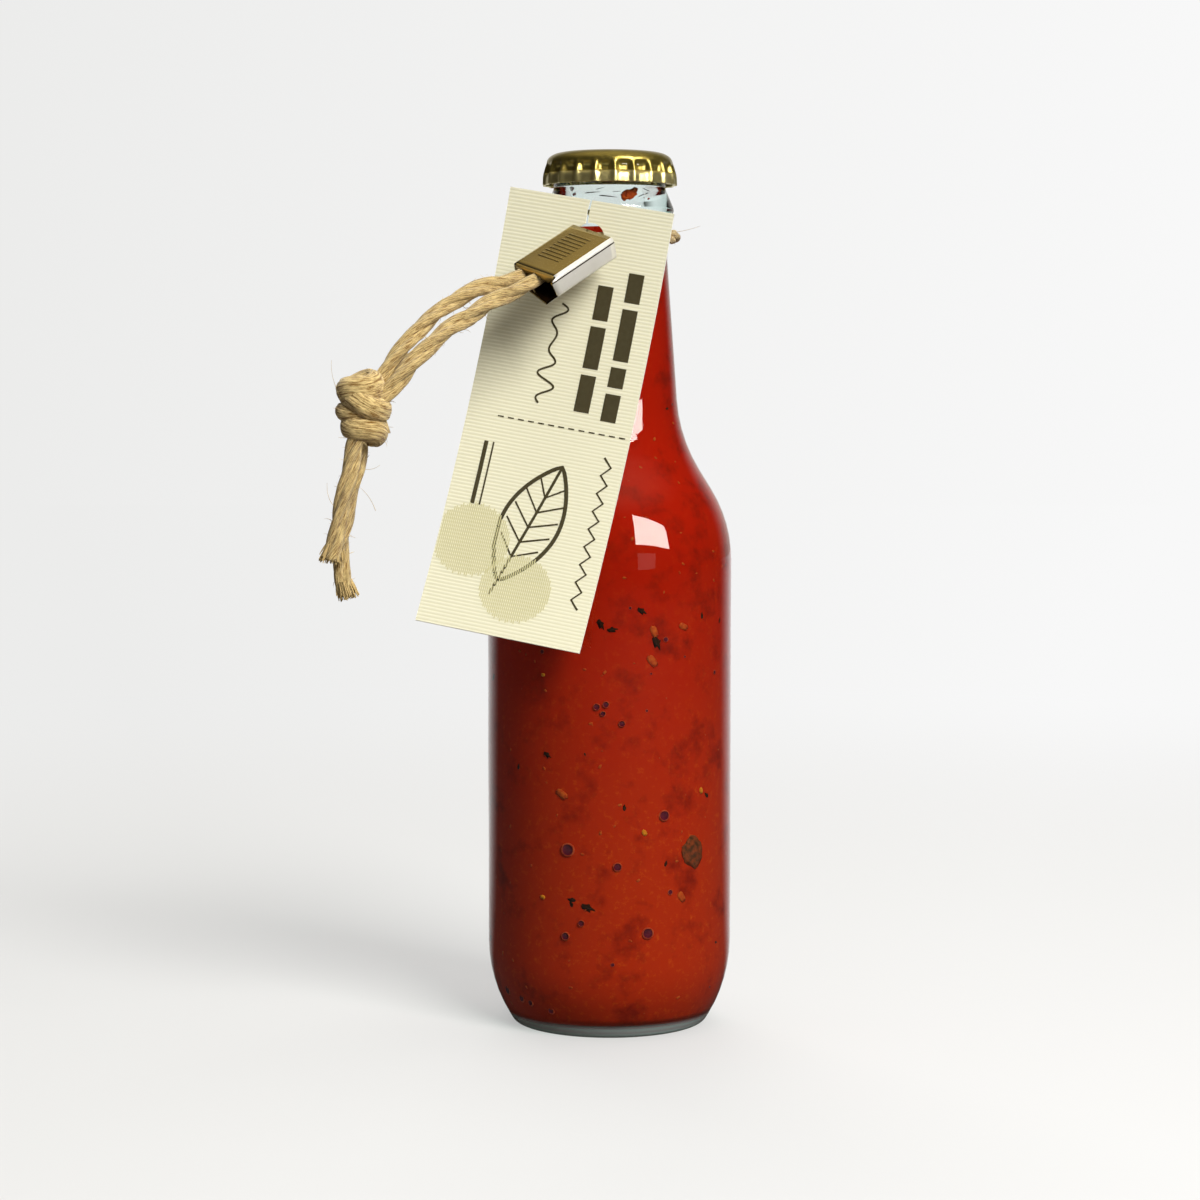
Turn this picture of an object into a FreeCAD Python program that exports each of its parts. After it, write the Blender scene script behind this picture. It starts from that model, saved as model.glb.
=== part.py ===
"""A crown-capped glass bottle of sauce with a card hang tag on a knotted cord.

Millimetres, +Z up.  The origin is on the bottle's axis, in the plane that it stands on,
and the tag hangs on the -Y side.
"""
import FreeCAD, Part
import math
import os

import Sketcher

V = FreeCAD.Vector

# name, value, what it is.  Lengths are in millimetres and angles in degrees.
SIZES = [
    # the outside of the bottle, from the lip down; a drop is measured down from the lip
    ("bottle_height", 185.0, "height of the glass, without the cap"),
    ("lip_inset", 0.5, "how far the lip's outer edge lies inside the ring"),
    ("lip_round", 1.5, "rounding of the lip's outer edge"),
    ("ring_radius", 13.0, "widest radius of the ring that the cap is crimped under"),
    ("ring_drop", 2.4, "drop to that ring's widest place"),
    ("recess_depth", 1.2, "depth of the groove under the ring"),
    ("recess_drop", 6.4, "drop to that groove"),
    ("bead_reach", 1.5, "how far the bead below the groove stands out from the neck"),
    ("bead_drop", 11.2, "drop to the bead's widest place"),
    ("bead_foot_drop", 14.4, "drop to where the bead runs into the neck"),
    ("neck_radius", 12.3, "radius of the neck under the bead"),
    ("neck_drop", 21.5, "drop to where the neck starts to widen"),
    ("neck_flare", 2.7, "how much the neck widens down to its foot"),
    ("neck_foot_height", 125.7, "height at which the neck's line meets the shoulder's"),
    ("body_radius", 26.1, "radius of the body"),
    ("shoulder_height", 107.6, "height at which the shoulder's line meets the body's"),
    ("heel_height", 9.2, "height at which the body's line meets the heel's"),
    ("heel_inset", 5.6, "how far the foot's outer edge lies inside the body, before rounding"),
    ("bearing_width", 3.9, "width of the ring that the bottle stands on, before rounding"),
    ("punt_slope", 2.0, "width of the slope from that ring to the hollow under the base"),
    ("punt_height", 1.8, "height of the hollow at the axis"),
    ("punt_edge", 1.0, "height of the hollow at the end of that slope"),
    # roundings of the outside
    ("ring_round", 0.7, "rounding of the cap's ring"),
    ("recess_round", 0.9, "rounding of the groove"),
    ("bead_round", 1.6, "rounding of the bead"),
    ("bead_blend", 0.9, "rounding where the bead runs into the neck"),
    ("neck_blend", 33.0, "radius of the curve from neck to shoulder"),
    ("shoulder_blend", 29.0, "radius of the curve from shoulder to body"),
    ("heel_blend", 31.0, "radius of the curve from body to heel"),
    ("foot_round", 1.9, "rounding of the foot's outer edge"),
    # the inside of the bottle
    ("bore_radius", 8.1, "radius of the mouth"),
    ("bore_round", 1.0, "rounding of the mouth's edge"),
    ("bore_depth", 13.0, "drop to where the bore starts to widen"),
    ("neck_wall", 2.9, "thickness of the neck's wall"),
    ("body_wall", 2.4, "thickness of the body's wall"),
    ("corner_drop", 0.8, "how far the inner corners sit below the outer ones"),
    ("floor_inset", 0.9, "how far the floor's edge lies inside the foot's outer edge"),
    ("floor_edge", 3.2, "height of the glass floor at its edge"),
    ("floor_middle", 4.4, "height of the glass floor at the axis"),
    ("inner_heel_blend", 19.0, "radius of the inner curve of the heel"),
    ("floor_round", 2.6, "rounding of the floor's edge"),
    # the sauce
    ("fill_drop", 15.0, "drop to the sauce's surface"),
    ("fill_gap", 0.05, "clearance between sauce and glass"),
    # the crown cap: its radii are measured out from a sheet laid on the bottle's ring,
    # and its lower levels are measured down from the ring's widest place
    ("cap_sheet", 0.25, "thickness of the cap's steel"),
    ("cap_seat", 0.05, "clearance between liner and cap"),
    ("cap_corner", 3.8, "width of the cap's rounded corner"),
    ("cap_corner_depth", 2.1, "height of the cap's rounded corner"),
    ("skirt_level", -0.3, "level at which the ridges begin"),
    ("skirt_ridge", 0.5, "how far the ridges stand out there"),
    ("skirt_dent", 0.15, "how far the dents stand out there, and the corner's end"),
    ("crimp_level", 0.85, "level of the crimp"),
    ("crimp_ridge", 0.85, "how far the ridges stand out at the crimp"),
    ("crimp_dent", 0.1, "clearance of the dents at the crimp"),
    ("flare_level", 2.2, "level halfway from the crimp to the rim"),
    ("flare_ridge", 1.0, "how far the ridges stand out there"),
    ("flare_dent", 0.3, "how far the dents stand out there"),
    ("rim_level", 3.55, "level of the rim"),
    ("rim_ridge", 1.1, "how far the ridges stand out at the rim"),
    ("rim_dent", 0.5, "how far the dents stand out at the rim"),
    ("flute_count", 21, "number of the cap's ridges"),
    ("flute_sharpness", 1.4, "how much narrower the ridges are than the dents"),
    ("liner_thickness", 0.7, "thickness of the liner under the cap"),
    ("liner_bevel", 1.3, "how far the liner runs out past the cap's flat"),
    ("liner_land", 1.2, "how far the liner's full thickness ends inside the cap's flat"),
    ("liner_edge", 0.2, "thickness of the liner at its edge"),
    ("liner_groove", 0.3, "depth of the liner's thin middle"),
    # the cord round the neck, pulled tight
    ("tight_cord", 2.7, "diameter of the cord where it is pulled tight"),
    ("neck_clearance", 0.15, "clearance between cord and neck"),
    ("loop_drop", 16.9, "drop to the loop's middle on the axis"),
    ("loop_slope", 3.4, "slope of the loop, down towards the tag"),
    ("leg_gap", 0.15, "clearance between the two legs of the loop in the hole"),
    ("leg_turn", 1.5, "how far past the loop's line the legs turn into the hole"),
    # the hang tag: a card bowed along its length
    ("tag_length", 93.0, "length of the card"),
    ("tag_width", 35.5, "width of the card"),
    ("tag_thickness", 0.5, "thickness of the card"),
    ("tag_bow", 259.5, "radius to which the card is bowed"),
    ("tag_hole_room", 0.5, "how much the hole's radius is larger than the tight cord"),
    ("tag_hole_place", 7.8, "distance of the hole's centre from the top edge"),
    ("tag_hole_side", 0.9, "distance of the hole's centre from the middle line"),
    ("tag_slit", 0.35, "width of the slit from the top edge to the hole"),
    ("tag_slit_side", 1.0, "distance of the slit from the hole's centre"),
    ("tag_side", 14.35, "angle round the neck of the place where the tag hangs"),
    ("tag_tilt", 10.0, "turn of the tag in its own plane"),
    ("tag_seat", 1.3, "distance of the card's back from where the legs turn into the hole"),
    ("tag_gap", 0.28, "how far the card's back stands out from the body's radius"),
    ("tag_rest", 63.3, "how far below its hole the card does so"),
    # the folded sheet-metal clip
    ("clip_length", 17.0, "length of the clip"),
    ("clip_width", 12.4, "width of the clip"),
    ("clip_room", 1.4, "height inside the clip beyond the tight cord"),
    ("clip_sheet", 0.45, "thickness of the clip's sheet"),
    ("clip_round", 1.1, "outer rounding of the clip's folds"),
    ("clip_tongue", 3.6, "how far the lower plate runs out at its longer side"),
    ("clip_swing", 50.9, "angle of the clip's axis from -Y towards -X"),
    ("clip_droop", 28.9, "angle of the clip's axis below level"),
    ("clip_roll", 18.4, "turn of the clip about its own axis"),
    ("clip_side", 2.97678, "how far the clip's corner lies beside the tag's hole"),
    ("clip_below", 1.79216, "how far that corner lies below the middle of the hole"),
    ("clip_lift", -0.13751, "how far that corner, before rounding, lies in front of the card"),
    ("leg_wall_inner", 0.9, "clearance of the upper leg and the clip's side at its inner end"),
    ("leg_wall_mouth", 0.5, "the same clearance at the clip's mouth"),
    ("leg_gap_inner", 0.25, "clearance between the legs at the clip's inner end"),
    ("leg_rise_inner", 0.3, "how far the legs lie above the clip's middle at its inner end"),
    ("leg_rise_mouth", 0.15, "how far they lie above it at the clip's mouth"),
    ("mouth_reach", 0.3, "how far past the clip's mouth the tight cord ends"),
    # the free cord and its knot
    ("free_cord", 3.5, "diameter of the cord where it hangs free"),
    ("strand_gap", 0.5, "clearance between the strands at the clip's mouth"),
    ("straight_on", 3.0, "how far the free cord runs straight on from the tight one"),
    ("knot_x", -48.9, "X of the knot's middle"),
    ("knot_y", -48.3, "Y of the knot's middle"),
    ("knot_drop", 36.0, "how far the knot's middle lies below the loop's"),
    ("wrap_slope", 15.0, "slope of the knot's wraps, down towards +X"),
]

# Sizes that follow from the ones above, and the pieces that share them.
DERIVED = [
    ("lip_radius", "ring_radius - lip_inset", "radius of the lip's outer edge"),
    ("ring_height", "bottle_height - ring_drop", "height of the ring's widest place"),
    ("neck_height", "bottle_height - neck_drop", "height at which the neck starts to widen"),
    ("bead_height", "bottle_height - bead_drop", "height of the bead's widest place"),
    ("loop_height", "bottle_height - loop_drop", "height of the loop's middle"),
    ("neck_foot_radius", "neck_radius + neck_flare", "radius of the neck at its foot"),
    ("foot_radius", "body_radius - heel_inset", "outer radius of the foot"),
    ("bearing_radius", "foot_radius - bearing_width", "inner radius of the bearing ring"),
    ("crimp_radius", "ring_radius + cap_sheet", "radius of a sheet laid on the ring"),
    ("cap_flat", "crimp_radius + skirt_dent - cap_corner", "radius of the cap's flat middle"),
    ("cap_top", "bottle_height + liner_thickness + cap_seat + cap_sheet",
     "height of the cap's top"),
    ("loop_radius", "neck_radius + neck_clearance + tight_cord / 2", "radius of the loop"),
    ("leg_bend", "loop_radius + leg_turn", "where the legs turn, from the axis"),
    ("tag_stand_off", "leg_bend + tag_seat", "the card's back from the axis, at its hole"),
    ("tag_hole_radius", "tight_cord + tag_hole_room", "radius of the tag's hole"),
    ("clip_height", "tight_cord + clip_room + 2 * clip_sheet", "height of the clip"),
]

# The free cords, from near the clip's mouth through the knot to their cut ends: X, Y and
# the height above the loop's middle.
UPPER_ROUTE = [(-26.4, -35.0, -11.9), (-32.2, -38.7, -15.1), (-37.5, -42.0, -19.5),
               (-42.2, -45.0, -25.2), (-46.4, -46.6, -31.9), (-48.8, -46.8, -39.3),
               (-49.9, -46.3, -46.7), (-51.9, -46.2, -54.3), (-53.5, -46.6, -61.7),
               (-53.7, -46.9, -67.9), (-52.0, -46.9, -73.1)]
LOWER_ROUTE = [(-23.0, -36.0, -14.2), (-28.2, -39.6, -17.6), (-33.3, -43.0, -21.1),
               (-38.2, -46.2, -26.1), (-43.2, -48.7, -32.1), (-48.3, -49.8, -38.1),
               (-50.9, -50.6, -45.6), (-52.4, -51.1, -53.3), (-53.8, -51.1, -60.2),
               (-54.7, -50.8, -65.7)]

# The knot's outline down its axis: height from its middle, radius.
KNOT_OUTLINE = [(7.2, 2.0), (6.8, 3.4), (6.1, 4.5), (5.2, 5.0), (4.2, 5.0), (3.3, 4.5),
                (2.6, 4.0), (1.8, 4.9), (0.9, 5.5), (0.0, 5.65), (-0.9, 5.4), (-1.7, 4.8),
                (-2.4, 4.1), (-3.1, 4.7), (-3.9, 5.2), (-4.8, 5.2), (-5.6, 4.8),
                (-6.3, 4.1), (-6.9, 3.0), (-7.3, 1.9)]

# How finely the wavy lines are led, and the share of a cord's run that a corner may take.
POINTS_PER_FLUTE = 8
POINTS_PER_WRAP = 16
CORNER_SHARE = 0.45

doc = FreeCAD.newDocument("SauceBottle")
sheet = doc.addObject("Spreadsheet::Sheet", "Sizes")
for row, (alias, value, meaning) in enumerate(SIZES, start=1):
    sheet.set(f"A{row}", meaning)
    sheet.set(f"B{row}", str(value))
    sheet.setAlias(f"B{row}", alias)
for row, (alias, expression, meaning) in enumerate(DERIVED, start=len(SIZES) + 1):
    sheet.set(f"A{row}", meaning)
    sheet.set(f"B{row}", "=" + expression)
    sheet.setAlias(f"B{row}", alias)
doc.recompute()


def size(alias):
    """The value of one cell of the sheet."""
    return float(getattr(sheet, alias))


def worked_out(expression):
    """The value of an expression in the sheet's names."""
    return float(sheet.evalExpression(expression))


def origin_feature(body, role):
    return next(f for f in body.Origin.OriginFeatures if f.Role == role)


def new_body(label):
    body = doc.addObject("PartDesign::Body", label)
    body.Label = label
    return body


def outline(body, name, points, plane="XZ_Plane"):
    """A sketch of straight lines round points given as pairs of expressions."""
    sketch = body.newObject("Sketcher::SketchObject", name)
    sketch.AttachmentSupport = (origin_feature(body, plane), "")
    sketch.MapMode = "FlatFace"
    places = [V(worked_out(x), worked_out(y), 0) for x, y in points]
    count = len(points)
    for i in range(count):
        sketch.addGeometry(Part.LineSegment(places[i], places[(i + 1) % count]))
    for i in range(count):
        sketch.addConstraint(Sketcher.Constraint("Coincident", i, 2, (i + 1) % count, 1))
    for i, pair in enumerate(points):
        for kind, expression, place in zip(("DistanceX", "DistanceY"), pair, places[i]):
            if expression == "0":
                line = -2 if kind == "DistanceX" else -1
                sketch.addConstraint(Sketcher.Constraint("PointOnObject", i, 1, line))
            else:
                index = sketch.addConstraint(Sketcher.Constraint(kind, -1, 1, i, 1, place))
                sketch.setExpression(f"Constraints[{index}]", expression)
    return sketch


def turned(body, name, points, cut=False):
    """A full turn of an outline about the body's Z axis: a solid, or a cut in it."""
    sketch = outline(body, name + "_outline", points)
    kind = "PartDesign::Groove" if cut else "PartDesign::Revolution"
    feature = body.newObject(kind, name)
    feature.Profile = sketch
    feature.ReferenceAxis = (sketch, ["V_Axis"])
    feature.Angle = 360
    doc.recompute()
    return feature


def circle_edge(shape, radius, height):
    """The name of the round edge nearest to a radius and a height."""
    def miss(edge):
        return abs(edge.Curve.Radius - radius) + abs(edge.Curve.Center.z - height)
    rounds = [(miss(edge), f"Edge{n}") for n, edge in enumerate(shape.Edges, start=1)
              if edge.Curve.TypeId == "Part::GeomCircle"]
    return min(rounds)[1]


def rounded(body, feature, name, corner, radius):
    """A fillet on the round edge at a corner of the outline."""
    fillet = body.newObject("PartDesign::Fillet", name)
    edge = circle_edge(feature.Shape, worked_out(corner[0]), worked_out(corner[1]))
    fillet.Base = (feature, [edge])
    fillet.setExpression("Radius", radius)
    doc.recompute()
    return fillet


OUTSIDE = {
    "lip": ("Sizes.lip_radius", "Sizes.bottle_height"),
    "ring": ("Sizes.ring_radius", "Sizes.ring_height"),
    "recess": ("Sizes.ring_radius - Sizes.recess_depth",
               "Sizes.bottle_height - Sizes.recess_drop"),
    "bead": ("Sizes.neck_radius + Sizes.bead_reach", "Sizes.bead_height"),
    "bead_foot": ("Sizes.neck_radius", "Sizes.bottle_height - Sizes.bead_foot_drop"),
    "neck": ("Sizes.neck_radius", "Sizes.neck_height"),
    "neck_foot": ("Sizes.neck_foot_radius", "Sizes.neck_foot_height"),
    "shoulder": ("Sizes.body_radius", "Sizes.shoulder_height"),
    "heel": ("Sizes.body_radius", "Sizes.heel_height"),
    "foot": ("Sizes.foot_radius", "0"),
    "bearing": ("Sizes.bearing_radius", "0"),
    "punt": ("Sizes.bearing_radius - Sizes.punt_slope", "Sizes.punt_edge"),
}


def inside_corners(gap):
    """The corners of the bottle's inside, from the mouth down, drawn in by a gap."""
    body = f"Sizes.body_radius - Sizes.body_wall - {gap}"
    return {
        "mouth": (f"Sizes.bore_radius - {gap}", "Sizes.bottle_height"),
        "bore_end": (f"Sizes.bore_radius - {gap}", "Sizes.bottle_height - Sizes.bore_depth"),
        "neck": (f"Sizes.neck_radius - Sizes.neck_wall - {gap}", "Sizes.neck_height"),
        "neck_foot": (f"Sizes.neck_foot_radius - Sizes.body_wall - {gap}",
                      "Sizes.neck_foot_height - Sizes.corner_drop"),
        "shoulder": (body, "Sizes.shoulder_height - Sizes.corner_drop"),
        "heel": (body, "Sizes.heel_height + Sizes.corner_drop"),
        "floor": (f"Sizes.foot_radius - Sizes.floor_inset - {gap}",
                  f"Sizes.floor_edge + {gap}"),
    }


def round_inside(body, feature, corners):
    """The fillets that the bottle's inside and the sauce have in common."""
    for name, radius in (("neck_foot", "Sizes.neck_blend + Sizes.body_wall"),
                         ("shoulder", "Sizes.shoulder_blend - Sizes.body_wall"),
                         ("heel", "Sizes.inner_heel_blend"),
                         ("floor", "Sizes.floor_round")):
        feature = rounded(body, feature, "inner_" + name, corners[name], radius)
    return feature


def make_bottle():
    """The glass: a turned solid, hollowed by a turned cut, with its corners rounded."""
    body = new_body("bottle")
    corners = list(OUTSIDE.values())
    glass = turned(body, "glass", [("0", "Sizes.bottle_height"), *corners,
                                   ("0", "Sizes.punt_height")])
    for name, radius in (("lip", "lip_round"), ("ring", "ring_round"),
                         ("recess", "recess_round"), ("bead", "bead_round"),
                         ("bead_foot", "bead_blend"), ("neck_foot", "neck_blend"),
                         ("shoulder", "shoulder_blend"), ("heel", "heel_blend"),
                         ("foot", "foot_round")):
        glass = rounded(body, glass, "outer_" + name, OUTSIDE[name], "Sizes." + radius)
    inner = inside_corners("0")
    hollow = turned(body, "hollow", [("0", "Sizes.bottle_height"), *inner.values(),
                                     ("0", "Sizes.floor_middle")], cut=True)
    hollow = round_inside(body, hollow, inner)
    rounded(body, hollow, "mouth", inner["mouth"], "Sizes.bore_round")
    return body


def make_sauce():
    """The sauce: the bottle's inside, less a clearance, up to the fill level."""
    body = new_body("sauce")
    corners = inside_corners("Sizes.fill_gap")
    fill = turned(body, "fill", [("0", "Sizes.bottle_height"), *corners.values(),
                                 ("0", "Sizes.floor_middle + Sizes.fill_gap")])
    round_inside(body, fill, corners)
    level = "Sizes.bottle_height - Sizes.fill_drop"
    above, beyond = "Sizes.bottle_height + Sizes.neck_wall", "Sizes.body_radius"
    turned(body, "headspace", [("0", level), (beyond, level), (beyond, above),
                               ("0", above)], cut=True)
    return body


def make_liner():
    """The liner: a disc that seals on the lip, thinner in the middle."""
    body = new_body("cap_liner")
    top = "Sizes.bottle_height + Sizes.liner_thickness"
    middle = "Sizes.bottle_height + Sizes.liner_groove"
    inner = "Sizes.bore_radius - Sizes.bore_round"
    edge = "Sizes.bottle_height + Sizes.liner_edge"
    outer = "Sizes.cap_flat + Sizes.liner_bevel"
    turned(body, "disc", [("0", middle), (inner, middle), (inner, "Sizes.bottle_height"),
                          (outer, "Sizes.bottle_height"), (outer, edge),
                          ("Sizes.cap_flat - Sizes.liner_land", top), ("0", top)])
    return body


def fluted_outline(height, ridge, dent):
    """One closed level line of the cap: ridges with wider dents between them."""
    count, sharpness = int(size("flute_count")), size("flute_sharpness")
    points = []
    steps = POINTS_PER_FLUTE * count
    for step in range(steps):
        angle = 2 * math.pi * step / steps
        wave = (0.5 + 0.5 * math.cos(count * angle)) ** sharpness
        radius = dent + (ridge - dent) * wave
        points.append(V(radius * math.cos(angle), radius * math.sin(angle), height))
    curve = Part.BSplineCurve()
    curve.interpolate(points, PeriodicFlag=True)
    return Part.Wire([curve.toShape()])


def fluted_solid(inset, overrun):
    """The cap's form as a full solid, drawn in by inset and carried down past the rim."""
    top, sheet_radius = size("cap_top") - inset, size("crimp_radius") - inset
    flat, corner = size("cap_flat") - inset, sheet_radius + size("skirt_dent")
    wires = []
    for turn in (0, 30, 60, 90):
        angle = math.radians(turn)
        radius = flat + (corner - flat) * math.sin(angle)
        depth = size("cap_corner_depth") * (1 - math.cos(angle))
        wires.append(fluted_outline(top - depth, radius, radius))
    levels = [("skirt", 0), ("crimp", 0), ("flare", 0), ("rim", 0)]
    if overrun:
        levels.append(("rim", overrun))
    for name, below in levels:
        height = size("ring_height") - size(f"{name}_level") - inset - below
        wires.append(fluted_outline(height, sheet_radius + size(f"{name}_ridge"),
                                    sheet_radius + size(f"{name}_dent")))
    return Part.makeLoft(wires, True, False)


def make_cap():
    """The crown cap: a fluted shell of sheet steel, crimped under the bottle's ring."""
    inner = fluted_solid(size("cap_sheet"), 2 * size("cap_sheet"))
    return feature("crown_cap", fluted_solid(0.0, 0.0).cut(inner))


def beside_tag(across, away, height):
    """A place given by the tag: across it, away from the bottle's axis, and its height."""
    angle = math.radians(size("tag_side"))
    return V(-away * math.sin(angle) + across * math.cos(angle),
             -away * math.cos(angle) - across * math.sin(angle), height)


def frame_at(origin, x_axis, y_axis):
    """The placement with this origin and these two axes."""
    turn = FreeCAD.Rotation(x_axis, y_axis, x_axis.cross(y_axis), "XYZ")
    return FreeCAD.Placement(origin, turn)


def loop_placement():
    """The plane of the loop round the neck, with X across the tag and Y out to it."""
    slope = math.radians(size("loop_slope"))
    out = beside_tag(0, math.cos(slope), -math.sin(slope))
    return frame_at(V(0, 0, size("loop_height")), beside_tag(1, 0, 0), out)


def tag_lean():
    """The card's lean at its hole, at which its back clears the body by the tag's gap."""
    chord = math.asin((size("body_radius") + size("tag_gap") - size("tag_stand_off"))
                      / size("tag_rest"))
    return chord - size("tag_rest") / (2 * size("tag_bow"))


def tag_placement():
    """Where the bow's centre lies, with X towards the card at its hole and Y down it."""
    outward = beside_tag(0, 1, 0)
    along = beside_tag(1, 0, 0)
    tilt, lean = math.radians(size("tag_tilt")), tag_lean()
    down = along * -math.sin(tilt) + V(0, 0, -math.cos(tilt))
    front = outward * math.cos(lean) - down * math.sin(lean)
    run = outward * math.sin(lean) + down * math.cos(lean)
    hole = loop_placement().multVec(V(0, size("tag_stand_off"), 0))
    return frame_at(hole + front * (size("tag_bow") + size("tag_thickness")), front * -1, run)


def make_tag():
    """The card: a strip of a thin cylinder wall, with a hole and a slit to the top edge."""
    per_degree = "(Sizes.tag_bow * pi / 180)"
    walls = []
    for name, extra in (("tag_back", "Sizes.tag_thickness"), ("tag_front", "0")):
        wall = doc.addObject("Part::Cylinder", name)
        wall.setExpression("Radius", f"(Sizes.tag_bow + {extra}) * 1 mm")
        wall.setExpression("Height", "Sizes.tag_width * 1 mm")
        wall.setExpression("Angle", f"Sizes.tag_length / {per_degree} * 1 deg")
        start = -math.degrees(size("tag_hole_place") / size("tag_bow"))
        drop = V(0, 0, -size("tag_width") / 2 + size("tag_hole_side"))
        wall.Placement = FreeCAD.Placement(drop, FreeCAD.Rotation(V(0, 0, 1), start))
        walls.append(wall)
    strip = doc.addObject("Part::Cut", "tag_strip")
    strip.Base, strip.Tool = walls

    hole = doc.addObject("Part::Cylinder", "tag_hole")
    hole.setExpression("Radius", "Sizes.tag_hole_radius * 1 mm")
    through = 8 * size("tag_thickness")
    hole.Height = through
    reach = size("tag_bow") - through / 2
    hole.Placement = FreeCAD.Placement(V(reach, 0, 0), FreeCAD.Rotation(V(0, 1, 0), 90))
    slit = doc.addObject("Part::Box", "tag_slit_cut")
    past_edge = size("tag_hole_place") + size("tag_hole_radius")
    slit.Length, slit.Width = through, past_edge
    slit.setExpression("Height", "Sizes.tag_slit * 1 mm")
    slit.Placement.Base = V(reach, -past_edge, size("tag_slit_side") - size("tag_slit") / 2)
    cuts = doc.addObject("Part::Fuse", "tag_cuts")
    cuts.Base, cuts.Tool = hole, slit
    tag = doc.addObject("Part::Cut", "hang_tag")
    tag.Base, tag.Tool = strip, cuts
    tag.Placement = tag_placement()
    return tag


def clip_placement():
    """The clip's inner end, with X along it to its mouth, Y across it and Z up through it."""
    swing, droop, roll = (math.radians(size(a)) for a in ("clip_swing", "clip_droop", "clip_roll"))
    out = V(-math.sin(swing) * math.cos(droop), -math.cos(swing) * math.cos(droop),
            -math.sin(droop))
    level = V(math.cos(swing), -math.sin(swing), 0)
    lower = out.cross(level) * -1
    across = level * math.cos(roll) + lower * math.sin(roll)
    corner = tag_placement().multVec(V(size("tag_bow") - size("clip_lift"), size("clip_below"),
                                       size("clip_side")))
    origin = corner + across * (size("clip_width") / 2) + out.cross(across) * (
        1 * size("clip_height") / 2)
    return frame_at(origin, out, across)


def make_clip():
    """The clip: a folded sleeve, open at both ends, whose lower plate runs out to a tongue."""
    body = new_body("clip")
    half, rise = "Sizes.clip_width / 2", "Sizes.clip_height / 2"
    section = outline(body, "section", [(f"-({half})", f"-({rise})"), (half, f"-({rise})"),
                                        (half, rise), (f"-({half})", rise)], "YZ_Plane")
    block = body.newObject("PartDesign::Pad", "block")
    block.Profile = section
    block.setExpression("Length", "Sizes.clip_length + Sizes.clip_tongue")
    doc.recompute()
    folds = [f"Edge{n}" for n, edge in enumerate(block.Shape.Edges, start=1)
             if abs(edge.tangentAt(edge.FirstParameter).x) > 0.99]
    fold = body.newObject("PartDesign::Fillet", "folds")
    fold.Base = (block, folds)
    fold.setExpression("Radius", "Sizes.clip_round")
    doc.recompute()
    inner_half, inner_rise = f"({half} - Sizes.clip_sheet)", f"({rise} - Sizes.clip_sheet)"
    channel = outline(body, "channel", [(f"-{inner_half}", f"-{inner_rise}"),
                                        (inner_half, f"-{inner_rise}"),
                                        (inner_half, inner_rise),
                                        (f"-{inner_half}", inner_rise)], "YZ_Plane")
    through = body.newObject("PartDesign::Pocket", "through")
    through.Profile = channel
    through.Type = "ThroughAll"
    through.Reversed = True
    doc.recompute()
    beyond = "Sizes.clip_length + 2 * Sizes.clip_tongue"
    side = outline(body, "mouth_side", [("Sizes.clip_length", f"-{inner_rise}"),
                                        (beyond, f"-{inner_rise}"),
                                        (beyond, "Sizes.clip_height"),
                                        ("Sizes.clip_length", "Sizes.clip_height")])
    mouth = body.newObject("PartDesign::Pocket", "mouth")
    mouth.Profile = side
    mouth.Type = "ThroughAll"
    mouth.Midplane = True
    doc.recompute()
    wide = f"({half} + Sizes.clip_sheet)"
    plan = outline(body, "tongue_plan", [("Sizes.clip_length", f"-{wide}"), (beyond, f"-{wide}"),
                                         (beyond, wide),
                                         ("Sizes.clip_length + Sizes.clip_tongue", wide)],
                   "XY_Plane")
    tongue = body.newObject("PartDesign::Pocket", "tongue")
    tongue.Profile = plan
    tongue.Type = "ThroughAll"
    tongue.Midplane = True
    doc.recompute()
    body.Placement = clip_placement()
    return body


def tangent_path(points):
    """Straight runs joined by tangent arcs, each as large as its two runs allow."""
    edges, radii, start = [], [], points[0]
    for before, corner, after in zip(points, points[1:], points[2:]):
        run_in, run_out = corner - before, after - corner
        half_turn = run_in.getAngle(run_out) / 2
        trim = CORNER_SHARE * min(run_in.Length, run_out.Length)
        radii.append(trim / math.tan(half_turn))
        first = corner - run_in.normalize() * trim
        last = corner + run_out.normalize() * trim
        middle = (first + last) / 2
        sagitta = radii[-1] * (1 / math.cos(half_turn) - 1)
        on_arc = corner + (middle - corner).normalize() * sagitta
        edges.append(Part.LineSegment(start, first).toShape())
        edges.append(Part.Arc(first, on_arc, last).toShape())
        start = last
    edges.append(Part.LineSegment(start, points[-1]).toShape())
    return edges, radii


def tube(name, edges, radii, diameter):
    """A round tube along edges that follow on from each other."""
    path = Part.Wire(edges)
    start = path.OrderedEdges[0]
    section = Part.Wire(Part.makeCircle(diameter / 2, start.valueAt(start.FirstParameter),
                                        start.tangentAt(start.FirstParameter)))
    solid = path.makePipeShell([section], True, True)
    full = math.pi * diameter ** 2 / 4 * path.Length
    print(f"{name}: length {path.Length:.1f} mm, smallest radius {min(radii):.1f} mm, "
          f"volume {solid.Volume:.1f} of {full:.1f} mm3")
    return solid


def feature(label, shape):
    item = doc.addObject("Part::Feature", label)
    item.Shape = shape
    item.Placement = FreeCAD.Placement()
    return item


def leg_side(side):
    """How far a leg of the loop lies beside the middle of the tag's hole."""
    return side * (size("tight_cord") + size("leg_gap")) / 2


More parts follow.
